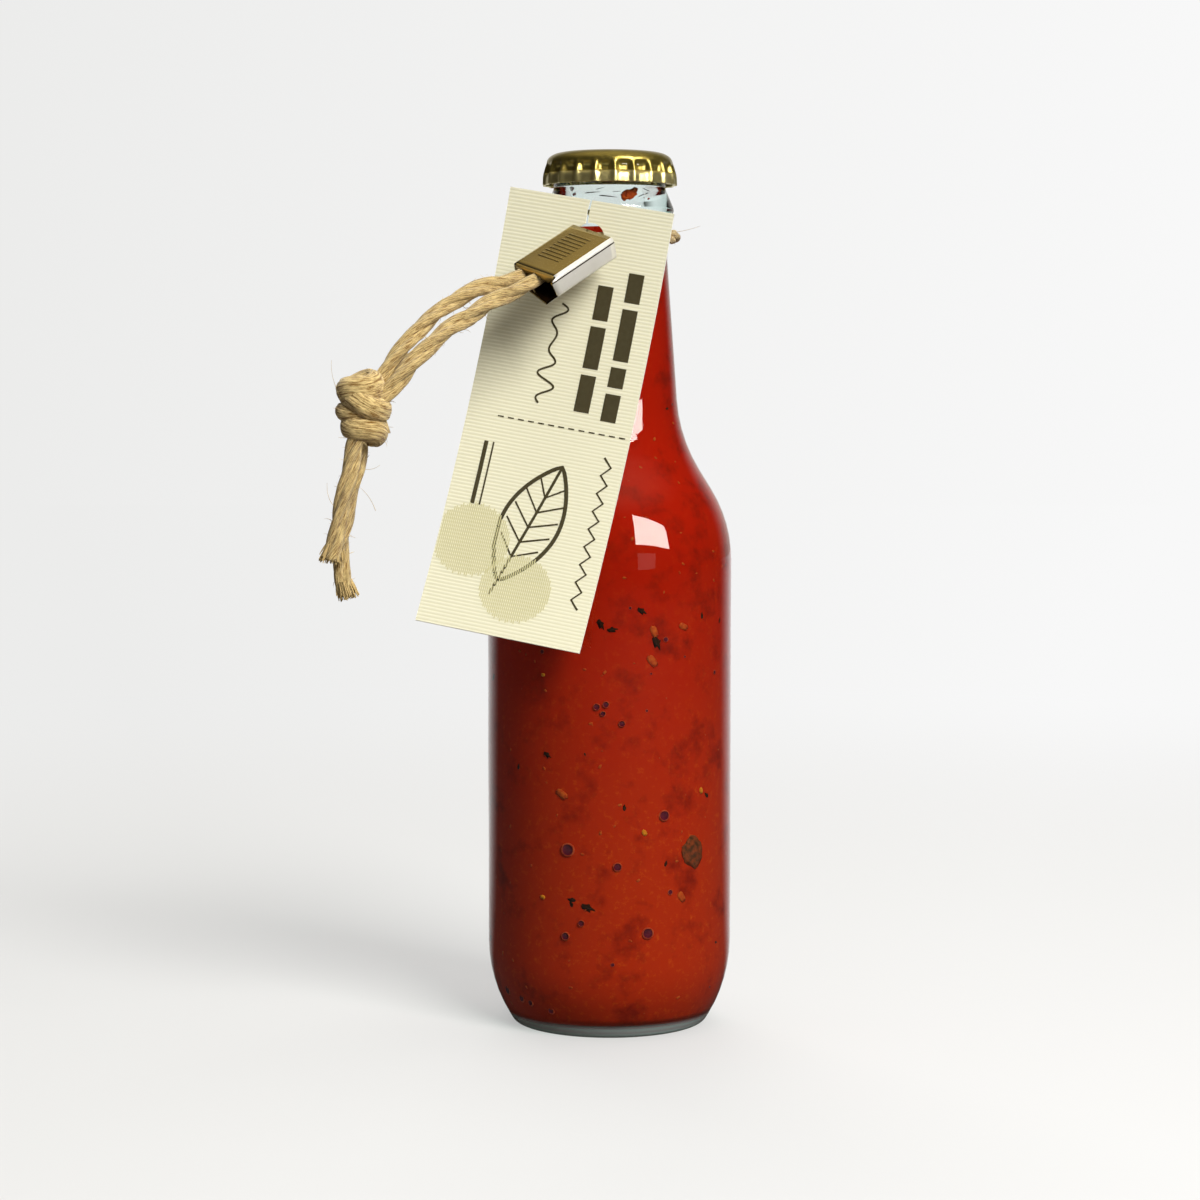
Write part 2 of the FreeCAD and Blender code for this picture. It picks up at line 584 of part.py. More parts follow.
def leg_points(side):
    """The tight cord's points from the clip's mouth to where it turns behind the tag.

    Side is -1 for the upper leg, which lies by the clip's side, and 1 for the lower one.
    """
    wall = size("tight_cord") / 2 + size("clip_sheet") - size("clip_width") / 2
    inner, mouth = wall + size("leg_wall_inner"), wall + size("leg_wall_mouth")
    if side > 0:
        inner += size("tight_cord") + size("leg_gap_inner")
        mouth += size("free_cord") + size("strand_gap")
    clip = clip_placement()
    return [clip.multVec(V(size("clip_length") + size("mouth_reach"), mouth,
                           size("leg_rise_mouth"))),
            clip.multVec(V(0, inner, size("leg_rise_inner"))),
            loop_placement().multVec(V(leg_side(side), size("leg_bend"), 0))]


def on_loop(turn):
    """A place on the loop, turned round from the tag's side."""
    radius = size("loop_radius")
    return loop_placement().multVec(V(radius * math.sin(turn), radius * math.cos(turn), 0))


def make_neck_loop():
    """The tight cord: from the clip through the tag's hole, round the neck and back."""
    touches, runs, radii = [], [], []
    for side in (-1, 1):
        across, away = leg_side(side), size("leg_bend")
        turn = math.acos(size("loop_radius") / math.hypot(across, away))
        touches.append(on_loop(math.atan2(across, away) + side * turn))
        edges, some = tangent_path(leg_points(side) + [touches[-1]])
        runs.append(edges)
        radii += some
    ring = Part.Arc(touches[0], on_loop(math.pi), touches[1]).toShape()
    shape = tube("neck_loop", runs[0] + [ring] + runs[1][::-1], radii, size("tight_cord"))
    return feature("neck_loop", shape)


def make_knot():
    """The knot: the cord's wraps, drawn tight, as rings that slope across its axis."""
    middle = size("loop_height") - size("knot_drop")
    slope = math.tan(math.radians(size("wrap_slope")))
    wires = []
    for height, radius in KNOT_OUTLINE:
        points = []
        for step in range(POINTS_PER_WRAP):
            angle = 2 * math.pi * step / POINTS_PER_WRAP
            x, y = radius * math.cos(angle), radius * math.sin(angle)
            points.append(V(size("knot_x") + x, size("knot_y") + y,
                            middle + height - slope * x))
        curve = Part.BSplineCurve()
        curve.interpolate(points, PeriodicFlag=True)
        wires.append(Part.Wire([curve.toShape()]))
    return feature("knot", Part.makeLoft(wires, True, False))


def make_free_cord(side, strand, tail, route, knot):
    """One free cord, cut by the knot into the strand above it and the tail below it."""
    start, inner = leg_points(side)[:2]
    straight_on = start + (start - inner).normalize() * size("straight_on")
    middle = V(0, 0, size("loop_height"))
    edges, radii = tangent_path([start, straight_on] + [middle + V(*point) for point in route])
    whole = tube(strand + " and " + tail, edges, radii, size("free_cord"))
    parts = whole.cut(knot.Shape).Solids
    parts.sort(key=lambda solid: solid.CenterOfMass.z)
    return [feature(tail, parts[0]), feature(strand, parts[-1])]


def make_all():
    pieces = [make_bottle(), make_sauce(), make_liner(), make_cap(), make_tag(),
              make_clip(), make_neck_loop()]
    knot = make_knot()
    pieces.append(knot)
    pieces += make_free_cord(-1, "strand_upper", "tail_long", UPPER_ROUTE, knot)
    pieces += make_free_cord(1, "strand_lower", "tail_short", LOWER_ROUTE, knot)
    return pieces


def write_parts(pieces):
    """Check every object and every shape, then write one file for each piece."""
    doc.recompute()
    for item in doc.Objects:
        if {"Invalid", "Error"} & set(item.State):
            raise RuntimeError(f"{item.Label} is {item.State}")
    for piece in pieces:
        if piece.Shape.isNull() or not piece.Shape.isValid():
            raise RuntimeError(f"{piece.Label} has no valid shape")
    os.makedirs("parts", exist_ok=True)
    for piece in pieces:
        box = piece.Shape.BoundBox
        print(f"{piece.Label}: {len(piece.Shape.Solids)} solid, {piece.Shape.Volume:.1f} mm3, "
              f"x {box.XMin:.2f} to {box.XMax:.2f}, y {box.YMin:.2f} to {box.YMax:.2f}, "
              f"z {box.ZMin:.2f} to {box.ZMax:.2f}")
        piece.Shape.exportStep(f"parts/{piece.Label}.step")


write_parts(make_all())
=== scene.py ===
"""A glass bottle of vegetable sauce with a crown cap and a card on a knotted jute cord.

Every piece is made in millimetres and scaled to metres as its mesh is written.
"""
import math
import random

import bmesh
import bpy
from bpy.props import (FloatProperty, FloatVectorProperty, IntProperty, PointerProperty)
from bpy.types import Operator, Panel, PropertyGroup
from mathutils import Euler, Matrix, Vector, noise


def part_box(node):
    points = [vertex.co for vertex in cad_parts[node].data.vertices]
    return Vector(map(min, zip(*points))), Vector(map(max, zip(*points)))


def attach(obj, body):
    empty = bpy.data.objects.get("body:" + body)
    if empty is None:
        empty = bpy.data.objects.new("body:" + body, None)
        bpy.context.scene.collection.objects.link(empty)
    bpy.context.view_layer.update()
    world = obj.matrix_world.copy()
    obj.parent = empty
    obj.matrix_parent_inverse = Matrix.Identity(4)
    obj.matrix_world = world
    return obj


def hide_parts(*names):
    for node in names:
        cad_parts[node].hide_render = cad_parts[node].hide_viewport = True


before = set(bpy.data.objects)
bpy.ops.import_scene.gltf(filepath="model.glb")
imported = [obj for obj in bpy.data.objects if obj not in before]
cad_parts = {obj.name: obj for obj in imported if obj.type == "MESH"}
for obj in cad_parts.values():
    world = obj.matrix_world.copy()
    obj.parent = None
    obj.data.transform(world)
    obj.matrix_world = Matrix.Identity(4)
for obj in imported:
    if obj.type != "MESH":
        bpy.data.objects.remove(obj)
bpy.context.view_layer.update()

bl_info = {
    "name": "Sauce bottle",
    "version": (1, 0, 0),
    "blender": (4, 5, 0),
    "location": "3D View > Sidebar > Bottle",
    "description": "Makes a bottle of sauce with its cap, card, clip and cord",
    "category": "Object",
}

MM = 0.001
BODY = "root"
WHITE = (1.0, 1.0, 1.0, 1.0)

# ---------------------------------------------------------------- sizes shared with the frame

# The glass from the middle of its base round to its inside: radius, height, rounding.
GLASS_CORNERS = [
    (0.0, 1.8, 0.0), (14.6, 1.0, 0.0), (16.6, 0.0, 0.25), (20.5, 0.0, 1.9), (26.1, 9.2, 31.0),
    (26.1, 107.6, 29.0), (15.0, 125.7, 33.0), (12.3, 163.5, 3.0), (12.3, 170.6, 0.9),
    (13.8, 173.8, 1.6), (11.8, 178.6, 0.9), (13.0, 182.6, 0.7), (12.5, 185.0, 1.5),
    (8.1, 185.0, 1.0), (8.1, 172.0, 6.0), (9.4, 163.5, 6.0), (12.6, 124.9, 35.4),
    (23.7, 106.8, 26.6), (23.7, 10.0, 19.0), (19.6, 3.2, 2.6), (0.0, 4.4, 0.0),
]
INNER_FROM = 14          # index of the first corner of the bottle's inside
BODY_RADIUS = 26.1
NECK_RADIUS = 12.3
MOUTH_RADIUS = 8.05      # inside the mouth, a little in from the glass
SAUCE_RADIUS, WALL = 23.75, 2.35     # in the body of the bottle
GLASS_BEND = 1.52        # how strongly glass bends light

# The free cords, from the clip's mouth to their cut ends, as in the frame: X, Y and the
# height above the middle of the loop round the neck.
LOOP_HEIGHT = 168.1
UPPER_ROUTE = [(-17.87, -28.10, -9.01), (-19.95, -29.70, -10.47), (-26.4, -35.0, -11.9),
               (-32.2, -38.7, -15.1), (-37.5, -42.0, -19.5), (-42.2, -45.0, -25.2),
               (-46.4, -46.6, -31.9), (-48.8, -46.8, -39.3), (-49.9, -46.3, -46.7),
               (-51.9, -46.2, -54.3), (-53.5, -46.6, -61.7), (-53.7, -46.9, -67.9),
               (-52.0, -46.9, -73.1)]
LOWER_ROUTE = [(-15.00, -30.66, -10.12), (-16.96, -32.37, -11.62), (-23.0, -36.0, -14.2),
               (-28.2, -39.6, -17.6), (-33.3, -43.0, -21.1), (-38.2, -46.2, -26.1),
               (-43.2, -48.7, -32.1), (-48.3, -49.8, -38.1), (-50.9, -50.6, -45.6),
               (-52.4, -51.1, -53.3), (-53.8, -51.1, -60.2), (-54.7, -50.8, -65.7)]
KNOT_CENTRE = Vector((-48.9, -48.3, 132.1))

# The tight cord: its slope round the neck in degrees, its gap from the glass, how far out the
# card's hole lies, and where each side of the cord passes the hole, aside and out.
LOOP_SLOPE, NECK_GAP, HOLE_OUT = 3.4, 0.15, 16.6
CORD_AT_HOLE = (1.43, 15.3)
# The clip's inner end from the loop's middle, and its swing, droop and roll in degrees.
CLIP_FOOT = (2.0, 21.2, 0.6)
CLIP_TURNS = (50.9, 28.9, 18.4)

YARNS = 3                # in one cord
CORD_STEP = 0.6          # between the rings of a cord
YARN_TURN = 3.0          # what one turn round a yarn is on its own map
PRINT_LIFT = 0.06        # of the ink over the card
# Between these parts of straight back, reflections turn from the room to the backdrop.
TO_BACKDROP = (0.58, 0.97)

# The bubbles that lie against the front of the glass: side as seen, height, size and turn.
LARGE_BUBBLES = [(-8.7, 40.4, 1.45, 0), (-2.7, 70.4, 0.75, 0), (-0.8, 70.9, 0.7, 0),
                 (-1.4, 69.0, 0.6, 0), (11.3, 47.4, 1.2, 0), (2.5, 66.9, 0.7, 0),
                 (1.6, 37.0, 0.95, 0), (-9.2, 22.2, 0.9, 0), (-5.9, 25.1, 0.7, 0),
                 (7.9, 22.9, 1.25, 0), (-21.8, 8.6, 1.0, 0), (-18.6, 7.6, 0.8, 0),
                 (-16.7, 7.0, 0.7, 0), (-12.3, 5.9, 0.75, 0)]


# ---------------------------------------------------------------- small helpers

def colour(code, alpha=1.0):
    """A linear colour from an sRGB hex code such as '#A01800'."""
    values = [int(code[i:i + 2], 16) / 255 for i in (1, 3, 5)]
    linear = [v / 12.92 if v <= 0.04045 else ((v + 0.055) / 1.055) ** 2.4 for v in values]
    return (*linear, alpha)


def add_node(tree, kind, inputs=None, **settings):
    """Adds a node with its settings; an input is a value, or a socket to link from."""
    node = tree.nodes.new(kind)
    for name, value in settings.items():
        setattr(node, name, value)
    for name, value in (inputs or {}).items():
        socket = node.inputs[name]
        if isinstance(value, bpy.types.NodeSocket):
            tree.links.new(value, socket)
        else:
            socket.default_value = value
    return node


def new_material(name):
    """An empty node material and its tree."""
    material = bpy.data.materials.new(name)
    material.use_nodes = True
    material.node_tree.nodes.clear()
    return material, material.node_tree


def finish_material(material, surface, volume=None):
    """Ends a material with a surface, and what fills the piece if it is clear."""
    tree = material.node_tree
    output = add_node(tree, "ShaderNodeOutputMaterial", {"Surface": surface})
    if volume is not None:
        tree.links.new(volume, output.inputs["Volume"])
    return material


def plain_finish(material, finish):
    """Ends a material as one surface with this finish."""
    surface = add_node(material.node_tree, "ShaderNodeBsdfPrincipled", finish)
    return finish_material(material, surface.outputs[0])


def maths(tree, operation, *values):
    """The result of one step of arithmetic on values or sockets."""
    return add_node(tree, "ShaderNodeMath", dict(enumerate(values)),
                    operation=operation).outputs[0]


def stretched(tree, value, low, high, to_low=0.0, to_high=1.0, kind="LINEAR"):
    """A value moved from one range to another, and held at its ends."""
    return add_node(tree, "ShaderNodeMapRange", {
        "Value": value, "From Min": low, "From Max": high, "To Min": to_low,
        "To Max": to_high}, interpolation_type=kind).outputs[0]


def blended(tree, share, before, after):
    """A colour part of the way from one to another."""
    return add_node(tree, "ShaderNodeMix", {"Factor": share, "A": before, "B": after},
                    data_type="RGBA").outputs[2]


def mixed(tree, share, first, second):
    """A surface or light part of the way from one to another."""
    return add_node(tree, "ShaderNodeMixShader", {0: share, 1: first, 2: second}).outputs[0]


def cloudy(tree, place, grain, detail, roughness=0.5):
    """Soft noise from 0 to 1, whose features are about a grain long."""
    return add_node(tree, "ShaderNodeTexNoise", {
        "Vector": place, "Scale": 1 / grain, "Detail": detail,
        "Roughness": roughness}).outputs["Fac"]


def bumped(tree, height, strength, depth):
    """The turn of a surface over bumps of some depth."""
    return add_node(tree, "ShaderNodeBump", {
        "Height": height, "Strength": strength, "Distance": depth}).outputs["Normal"]


def own_place(tree):
    """Where a point lies on the piece."""
    return add_node(tree, "ShaderNodeTexCoord").outputs["Object"]


def axes(tree, vector):
    """The X, Y and Z of a vector."""
    return add_node(tree, "ShaderNodeSeparateXYZ", {0: vector}).outputs


def rays_of(tree):
    """What kind of ray has met a surface or the world."""
    return add_node(tree, "ShaderNodeLightPath").outputs


def mesh_piece(name, points, faces, material=None, smooth=True):
    """A piece from points in millimetres."""
    mesh = bpy.data.meshes.new(name)
    mesh.from_pydata([Vector(p) * MM for p in points], [], faces)
    if smooth:
        mesh.polygons.foreach_set("use_smooth", [True] * len(mesh.polygons))
    piece = bpy.data.objects.new(name, mesh)
    bpy.context.scene.collection.objects.link(piece)
    if material is not None:
        mesh.materials.append(material)
    return piece


def face_outwards(piece):
    """Merges doubled points and turns every face of a closed piece outwards."""
    work = bmesh.new()
    work.from_mesh(piece.data)
    bmesh.ops.remove_doubles(work, verts=work.verts, dist=1e-7)
    bmesh.ops.recalc_face_normals(work, faces=work.faces)
    work.to_mesh(piece.data)
    work.free()


def skin_faces(rings, sides, start=0, closed=False, around=True):
    """Faces over rings of points, each joined to the next and, if closed, last to first."""
    faces = []
    for i in range(rings if closed else rings - 1):
        a, b = start + i * sides, start + (i + 1) % rings * sides
        for k in range(sides if around else sides - 1):
            m = (k + 1) % sides
            faces.append((a + k, a + m, b + m, b + k))
    return faces


def neighbours(line, i, closed=False):
    """The points before and after a point of a line; at an open end, the point itself."""
    before = line[i - 1] if closed or i else line[i]
    after = line[(i + 1) % len(line)] if closed or i < len(line) - 1 else line[i]
    return before, after


def settle(piece):
    """Replaces a piece's mesh by what its modifiers make, and removes them."""
    seen = piece.evaluated_get(bpy.context.evaluated_depsgraph_get())
    mesh = bpy.data.meshes.new_from_object(seen)
    piece.modifiers.clear()
    piece.data = mesh
    mesh.name = piece.name


def join(name, pieces):
    """One piece from several, with their materials."""
    if len(pieces) > 1:
        with bpy.context.temp_override(active_object=pieces[0],
                                       selected_editable_objects=pieces):
            bpy.ops.object.join()
    pieces[0].name = pieces[0].data.name = name
    return pieces[0]


def new_tree(name, sizes):
    """A geometry node tree with a mesh in and out, and named sizes."""
    tree = bpy.data.node_groups.new(name, "GeometryNodeTree")
    tree.interface.new_socket("Geometry", in_out="OUTPUT", socket_type="NodeSocketGeometry")
    tree.interface.new_socket("Geometry", in_out="INPUT", socket_type="NodeSocketGeometry")
    for label, kind in sizes + [("Material", "NodeSocketMaterial")]:
        tree.interface.new_socket(label, in_out="INPUT", socket_type=kind)
    return tree, add_node(tree, "NodeGroupInput"), add_node(tree, "NodeGroupOutput")


def end_tree(tree, given, result, geometry):
    """Ends a tree: makes its copies real and gives them its material."""
    real = add_node(tree, "GeometryNodeRealizeInstances", {0: geometry})
    coat = add_node(tree, "GeometryNodeSetMaterial", {
        "Geometry": real.outputs[0], "Material": given.outputs["Material"]})
    tree.links.new(coat.outputs[0], result.inputs[0])
    return tree


def run_tree(piece, tree, values):
    """Runs a geometry node tree on a piece with these named values, and keeps the result."""
    modifier = piece.modifiers.new(tree.name, "NODES")
    modifier.node_group = tree
    for item in tree.interface.items_tree:
        if item.item_type == "SOCKET" and item.in_out == "INPUT" and item.name in values:
            modifier[item.identifier] = values[item.name]
    settle(piece)


def part_of_object(piece, slot, *nodes):
    """Hangs a finished piece on the object's body and hides the parts of the model that it
    stands for.
    """
    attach(piece, BODY)
    if nodes:
        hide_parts(*nodes)


# ---------------------------------------------------------------- turned forms

def rounded_profile(corners, step=6.0):
    """The corners with their roundings drawn as short lines, one each step degrees."""
    points = [Vector(corners[0][:2])]
    for before, corner, after in zip(corners, corners[1:], corners[2:]):
        here = Vector(corner[:2])
        into = (here - Vector(before[:2])).normalized()
        out = (Vector(after[:2]) - here).normalized()
        turn = into.angle(out)
        radius = corner[2]
        if radius == 0 or turn < 1e-4:
            points.append(here)
            continue
        side = 1 if into.cross(out) > 0 else -1
        start = here - into * radius * math.tan(turn / 2)
        centre = start + Vector((-into.y, into.x)) * side * radius
        pieces = max(3, math.ceil(math.degrees(turn) / step))
        arm = start - centre
        for i in range(pieces + 1):
            angle = side * turn * i / pieces
            c, s = math.cos(angle), math.sin(angle)
            points.append(centre + Vector((arm.x * c - arm.y * s, arm.x * s + arm.y * c)))
    points.append(Vector(corners[-1][:2]))
    return points


def split_long(points, longest):
    """The same line with its long runs divided, so that a surface can be uneven."""
    out = [points[0]]
    for a, b in zip(points, points[1:]):
        count = max(1, math.ceil((b - a).length / longest))
        out += [a.lerp(b, i / count) for i in range(1, count + 1)]
    return out


def lathe(name, profile, segments, material, shift=None):
    """A turned form from a line of (radius, height); shift(angle, point) moves a point."""
    points, rings, faces = [], [], []
    for place in profile:
        if place[0] < 1e-6:
            points.append((0, 0, place[1]))
            rings.append([len(points) - 1] * segments)
            continue
        ring = []
        for i in range(segments):
            angle = 2 * math.pi * i / segments
            radius = place[0] + (shift(angle, place) if shift else 0)
            points.append((radius * math.cos(angle), radius * math.sin(angle), place[1]))
            ring.append(len(points) - 1)
        rings.append(ring)
    for low, high in zip(rings, rings[1:]):
        for i in range(segments):
            j = (i + 1) % segments
            corner = [low[i], low[j], high[j], high[i]]
            face = [c for k, c in enumerate(corner) if c not in corner[:k]]
            if len(face) > 2:
                faces.append(face)
    piece = mesh_piece(name, points, faces, material)
    face_outwards(piece)
    return piece


# ---------------------------------------------------------------- places on the card and clip

def turned_frame(x_axis, y_axis, origin):
    """The place and turn of a piece whose X and Y lie so."""
    z_axis = x_axis.cross(y_axis)
    rows = Matrix((x_axis, y_axis, z_axis)).transposed().to_4x4()
    rows.translation = origin
    return rows


def beside_tag(across, away, height):
    """A point by how far it lies to the card's right and out to it from the neck's middle."""
    angle = math.radians(bpy.context.scene.bottle_card.side)
    return Vector((-away * math.sin(angle) + across * math.cos(angle),
                   -away * math.cos(angle) - across * math.sin(angle), height))


def loop_frame():
    """The plane of the loop round the neck, with X across the card and Y out to it."""
    slope = math.radians(LOOP_SLOPE)
    out = beside_tag(0, math.cos(slope), -math.sin(slope))
    return turned_frame(beside_tag(1, 0, 0), out, Vector((0, 0, LOOP_HEIGHT)))


def card_frame():
    """The bow's centre, with X towards the card at its hole and Y down the card."""
    card = bpy.context.scene.bottle_card
    outward, along = beside_tag(0, 1, 0), beside_tag(1, 0, 0)
    tilt, lean = math.radians(card.tilt), math.radians(card.lean)
    down = along * -math.sin(tilt) + Vector((0, 0, -math.cos(tilt)))
    front = outward * math.cos(lean) - down * math.sin(lean)
    run = outward * math.sin(lean) + down * math.cos(lean)
    hole = loop_frame() @ Vector((0, HOLE_OUT, 0))
    return turned_frame(-front, run, hole + front * (card.bow + card.thickness) / MM)


def card_place(u, v, lift=0.0):
    """A point on the card's front: u to the right of its middle line, v down from its top."""
    card = bpy.context.scene.bottle_card
    radius = card.bow / MM - lift
    angle = (v - card.hole_place / MM) / (card.bow / MM)
    return card_frame() @ Vector((radius * math.cos(angle), radius * math.sin(angle),
                                  card.hole_side / MM - u))


def clip_frame():
    """The clip's inner end, with X along it to its mouth, Y across it and Z up through it."""
    swing, droop, roll = (math.radians(a) for a in CLIP_TURNS)
    out = Vector((-math.sin(swing) * math.cos(droop), -math.cos(swing) * math.cos(droop),
                  -math.sin(droop)))
    level = Vector((math.cos(swing), -math.sin(swing), 0))
    lower = out.cross(level) * -1
    across = level * math.cos(roll) + lower * math.sin(roll)
    return turned_frame(out, across, loop_frame() @ Vector(CLIP_FOOT))


# ---------------------------------------------------------------- materials

def flint_glass(glass):
    """Flint container glass, blown in a mould: clear, and sea green where it is thick, with
    painted light at its foot.
    """
    material, tree = new_material("flint_glass")
    place = own_place(tree)
    ripple = cloudy(tree, place, glass.ripple_length, 1.0)
    # Painted light: the lowest few millimetres are half opaque and painted in dark and pale
    # sea-green bands, standing in for light shining through the thick base.
    foot = stretched(tree, axes(tree, place)["Z"], 0.0014, 0.0032, 0.5, 1.0, "SMOOTHSTEP")
    painted_light_bands = add_node(tree, "ShaderNodeTexWave", {
        "Vector": place, "Scale": 1 / 0.0042, "Distortion": 1.2, "Detail": 2.0},
        bands_direction="Z")
    painted_foot_light = blended(tree, painted_light_bands.outputs["Fac"], colour("#0C3832"), colour("#4FA89C"))
    clear = add_node(tree, "ShaderNodeBsdfPrincipled", {
        "Base Color": blended(tree, foot, painted_foot_light, WHITE), "Roughness": 0.0,
        "IOR": GLASS_BEND, "Transmission Weight": foot,
        "Normal": bumped(tree, ripple, 0.35, glass.ripple_depth)})
    # Lamps and bounced light pass straight through, so the sauce isn't left in the dark.
    lamps = add_node(tree, "ShaderNodeBsdfTransparent", {"Color": colour("#F2F7F4")})
    rays = rays_of(tree)
    either = maths(tree, "MAXIMUM", rays["Is Shadow Ray"], rays["Is Diffuse Ray"])
    depth = add_node(tree, "ShaderNodeVolumeAbsorption", {
        "Color": colour("#78D6C6"), "Density": glass.tint})
    return finish_material(material, mixed(tree, either, clear.outputs[0], lamps.outputs[0]),
                           depth.outputs[0])


def vegetable_sauce(sauce):
    """Cooked vegetable sauce in oil: deep red above, pulpy orange red where it settled."""
    material, tree = new_material("vegetable_sauce")
    place = own_place(tree)
    wander = maths(tree, "MULTIPLY_ADD", cloudy(tree, place, 0.014, 4.0, 0.6), 0.07,
                   axes(tree, place)["Z"])
    settled = stretched(tree, wander, 0.065, 0.145)
    body = blended(tree, settled, tuple(sauce.low_colour), tuple(sauce.high_colour))
    grains = stretched(tree, cloudy(tree, place, 0.0013, 5.0, 0.75), 0.54, 0.78, 0.0, 0.6)
    thinner = stretched(tree, settled, 0.0, 1.0, 1.0, 0.15)
    pulpy = blended(tree, maths(tree, "MULTIPLY", grains, thinner), body,
                    tuple(sauce.pulp_colour))
    clots = stretched(tree, cloudy(tree, place, 0.0075, 4.0, 0.65), 0.52, 0.70, 0.0, 0.8)
    return plain_finish(material, {
        "Base Color": blended(tree, clots, pulpy, tuple(sauce.clot_colour)),
        "Roughness": 0.5, "IOR": 1.45, "Specular IOR Level": 0.1})


def food_or_painted_bubble(name, code, roughness, grain, code_2):
    """Two shades in a fine grain: the natural colour of a piece of vegetable, seed or herb, and
    also the painted light of a bubble's dark middle and pale rim.
    """
    material, tree = new_material(name)
    mottle = stretched(tree, cloudy(tree, own_place(tree), grain, 3.0), 0.35, 0.65)
    return plain_finish(material, {
        "Base Color": blended(tree, mottle, colour(code), colour(code_2)),
        "Roughness": roughness, "Specular IOR Level": 0.2})


def gold_lacquer(cap):
    """Tinplate under a clear gold lacquer: a bright metal seen through a tinted gloss."""
    material, tree = new_material("gold_lacquered_tinplate")
    place = own_place(tree)
    uneven = cloudy(tree, place, 0.004, 2.0)
    shade = blended(tree, uneven, tuple(cap.lacquer), tuple(cap.lacquer_deep))
    # Painted reflection: the crimped skirt, from just under the rounded corner down, is painted
    # paler than the top, standing in for the bright floor it mirrors.
    painted_skirt_light = stretched(tree, axes(tree, place)["Z"], 0.1813, 0.1816, 0.8, 0.0)
    return plain_finish(material, {
        "Base Color": blended(tree, painted_skirt_light, shade, colour("#F0E4A0")), "Metallic": 0.9,
        "Roughness": stretched(tree, uneven, 0.0, 1.0, cap.roughness * 0.8,
                               cap.roughness * 1.3),
        "Coat Weight": 0.35, "Coat Roughness": 0.10,
        "Normal": bumped(tree, uneven, 0.04, 0.0001)})


def liner_compound():
    """Foamed sealing compound: matt, pale grey, with a fine cell."""
    material, tree = new_material("liner_compound")
    cells = add_node(tree, "ShaderNodeTexVoronoi", {
        "Vector": own_place(tree), "Scale": 1 / 0.0004}).outputs["Distance"]
    return plain_finish(material, {
        "Base Color": blended(tree, cells, colour("#C9C7BD"), colour("#D8D6CC")),
        "Roughness": 0.7, "Normal": bumped(tree, cells, 0.3, 0.00005)})


def ribbed_card(card):
    """Uncoated card with a rolled rib: matt, cream, with a faint fibre in its colour and
    painted shade in the troughs of the ribs.
    """
    material, tree = new_material("ribbed_cream_card")
    flat = add_node(tree, "ShaderNodeUVMap", uv_map="card").outputs[0]
    fibre = cloudy(tree, flat, 0.9, 5.0, 0.65)
    turns = maths(tree, "MULTIPLY", axes(tree, flat)["Y"],
                  2 * math.pi / (card.rib_pitch / MM))
    # Painted shade: the troughs between the rolled ribs are painted darker.
    groove = stretched(tree, maths(tree, "SINE", turns), -1.0, 0.2, 0.42, 0.0)
    base = blended(tree, fibre, tuple(card.paper), tuple(card.paper_deep))
    return plain_finish(material, {
        "Base Color": blended(tree, groove, base, colour("#C9C39A")),
        "Roughness": 0.75, "Specular IOR Level": 0.3,
        "Normal": bumped(tree, fibre, 0.15, 0.00004)})


def soft_shade(name, code, code_2, grain, roughness):
    """A matt surface whose shade wanders a little, such as ink or a card's cut edge."""
    material, tree = new_material(name)
    blotch = cloudy(tree, own_place(tree), grain, 4.0)
    return plain_finish(material, {
        "Base Color": blended(tree, blotch, colour(code), colour(code_2)),
        "Roughness": roughness, "Specular IOR Level": 0.3})


def plated_steel(name, code, code_2, roughness, metallic=1.0):
    """Plated, tumbled steel sheet: a mirror softened by fine scratches along the strip."""
    material, tree = new_material(name)
    place = own_place(tree)
    turned = add_node(tree, "ShaderNodeMapping", {
        0: place, "Rotation": (0.0, 0.5, 0.9), "Scale": (1.0, 14.0, 14.0)}).outputs[0]
    scratch = cloudy(tree, turned, 0.006, 4.0, 0.7)
    tarnish = cloudy(tree, place, 0.005, 3.0)
    return plain_finish(material, {
        "Base Color": blended(tree, tarnish, colour(code), colour(code_2)),
        "Metallic": metallic,
        "Roughness": stretched(tree, scratch, 0.0, 1.0, roughness * 0.85, roughness * 1.2),
        "Normal": bumped(tree, scratch, 0.03, 0.00005)})


def jute_yarn(cord):
    """Spun jute: dry bast fibres that lie along the yarn, tan with darker and paler streaks."""
    material, tree = new_material("spun_jute")
    wound = add_node(tree, "ShaderNodeUVMap", uv_map="yarn").outputs[0]
    lie = add_node(tree, "ShaderNodeMapping", {
        0: wound, "Rotation": (0.0, 0.0, 0.12), "Scale": (4.4, 0.16, 1.0)}).outputs[0]
    streak = cloudy(tree, lie, 1 / 2.6, 6.0, 0.7)
    return plain_finish(material, {
        "Base Color": blended(tree, stretched(tree, streak, 0.40, 0.57),
                              tuple(cord.dark), tuple(cord.pale)),
        "Roughness": 0.85, "Specular IOR Level": 0.2, "Sheen Weight": 0.25,
        "Sheen Roughness": 0.5, "Normal": bumped(tree, streak, 1.0, 0.0004)})


def jute():
    """The cords' material, made the first time it is asked for."""
    return bpy.data.materials.get("spun_jute") or jute_yarn(bpy.context.scene.bottle_cord)


# ---------------------------------------------------------------- sizes that a user changes

class GlassSettings(PropertyGroup):
    segments: IntProperty(name="Segments", description="Facets round the bottle",
                          default=160, min=32)
    ripple_length: FloatProperty(name="Ripple length", description="Spacing of the waves",
                                 default=14 * MM, unit="LENGTH")
    ripple_depth: FloatProperty(name="Ripple depth", description="Height of the waves",
                                default=0.25 * MM, unit="LENGTH")
    tint: FloatProperty(name="Tint", description="Strength of the green in thick glass",
                        default=24.0, min=0.0)


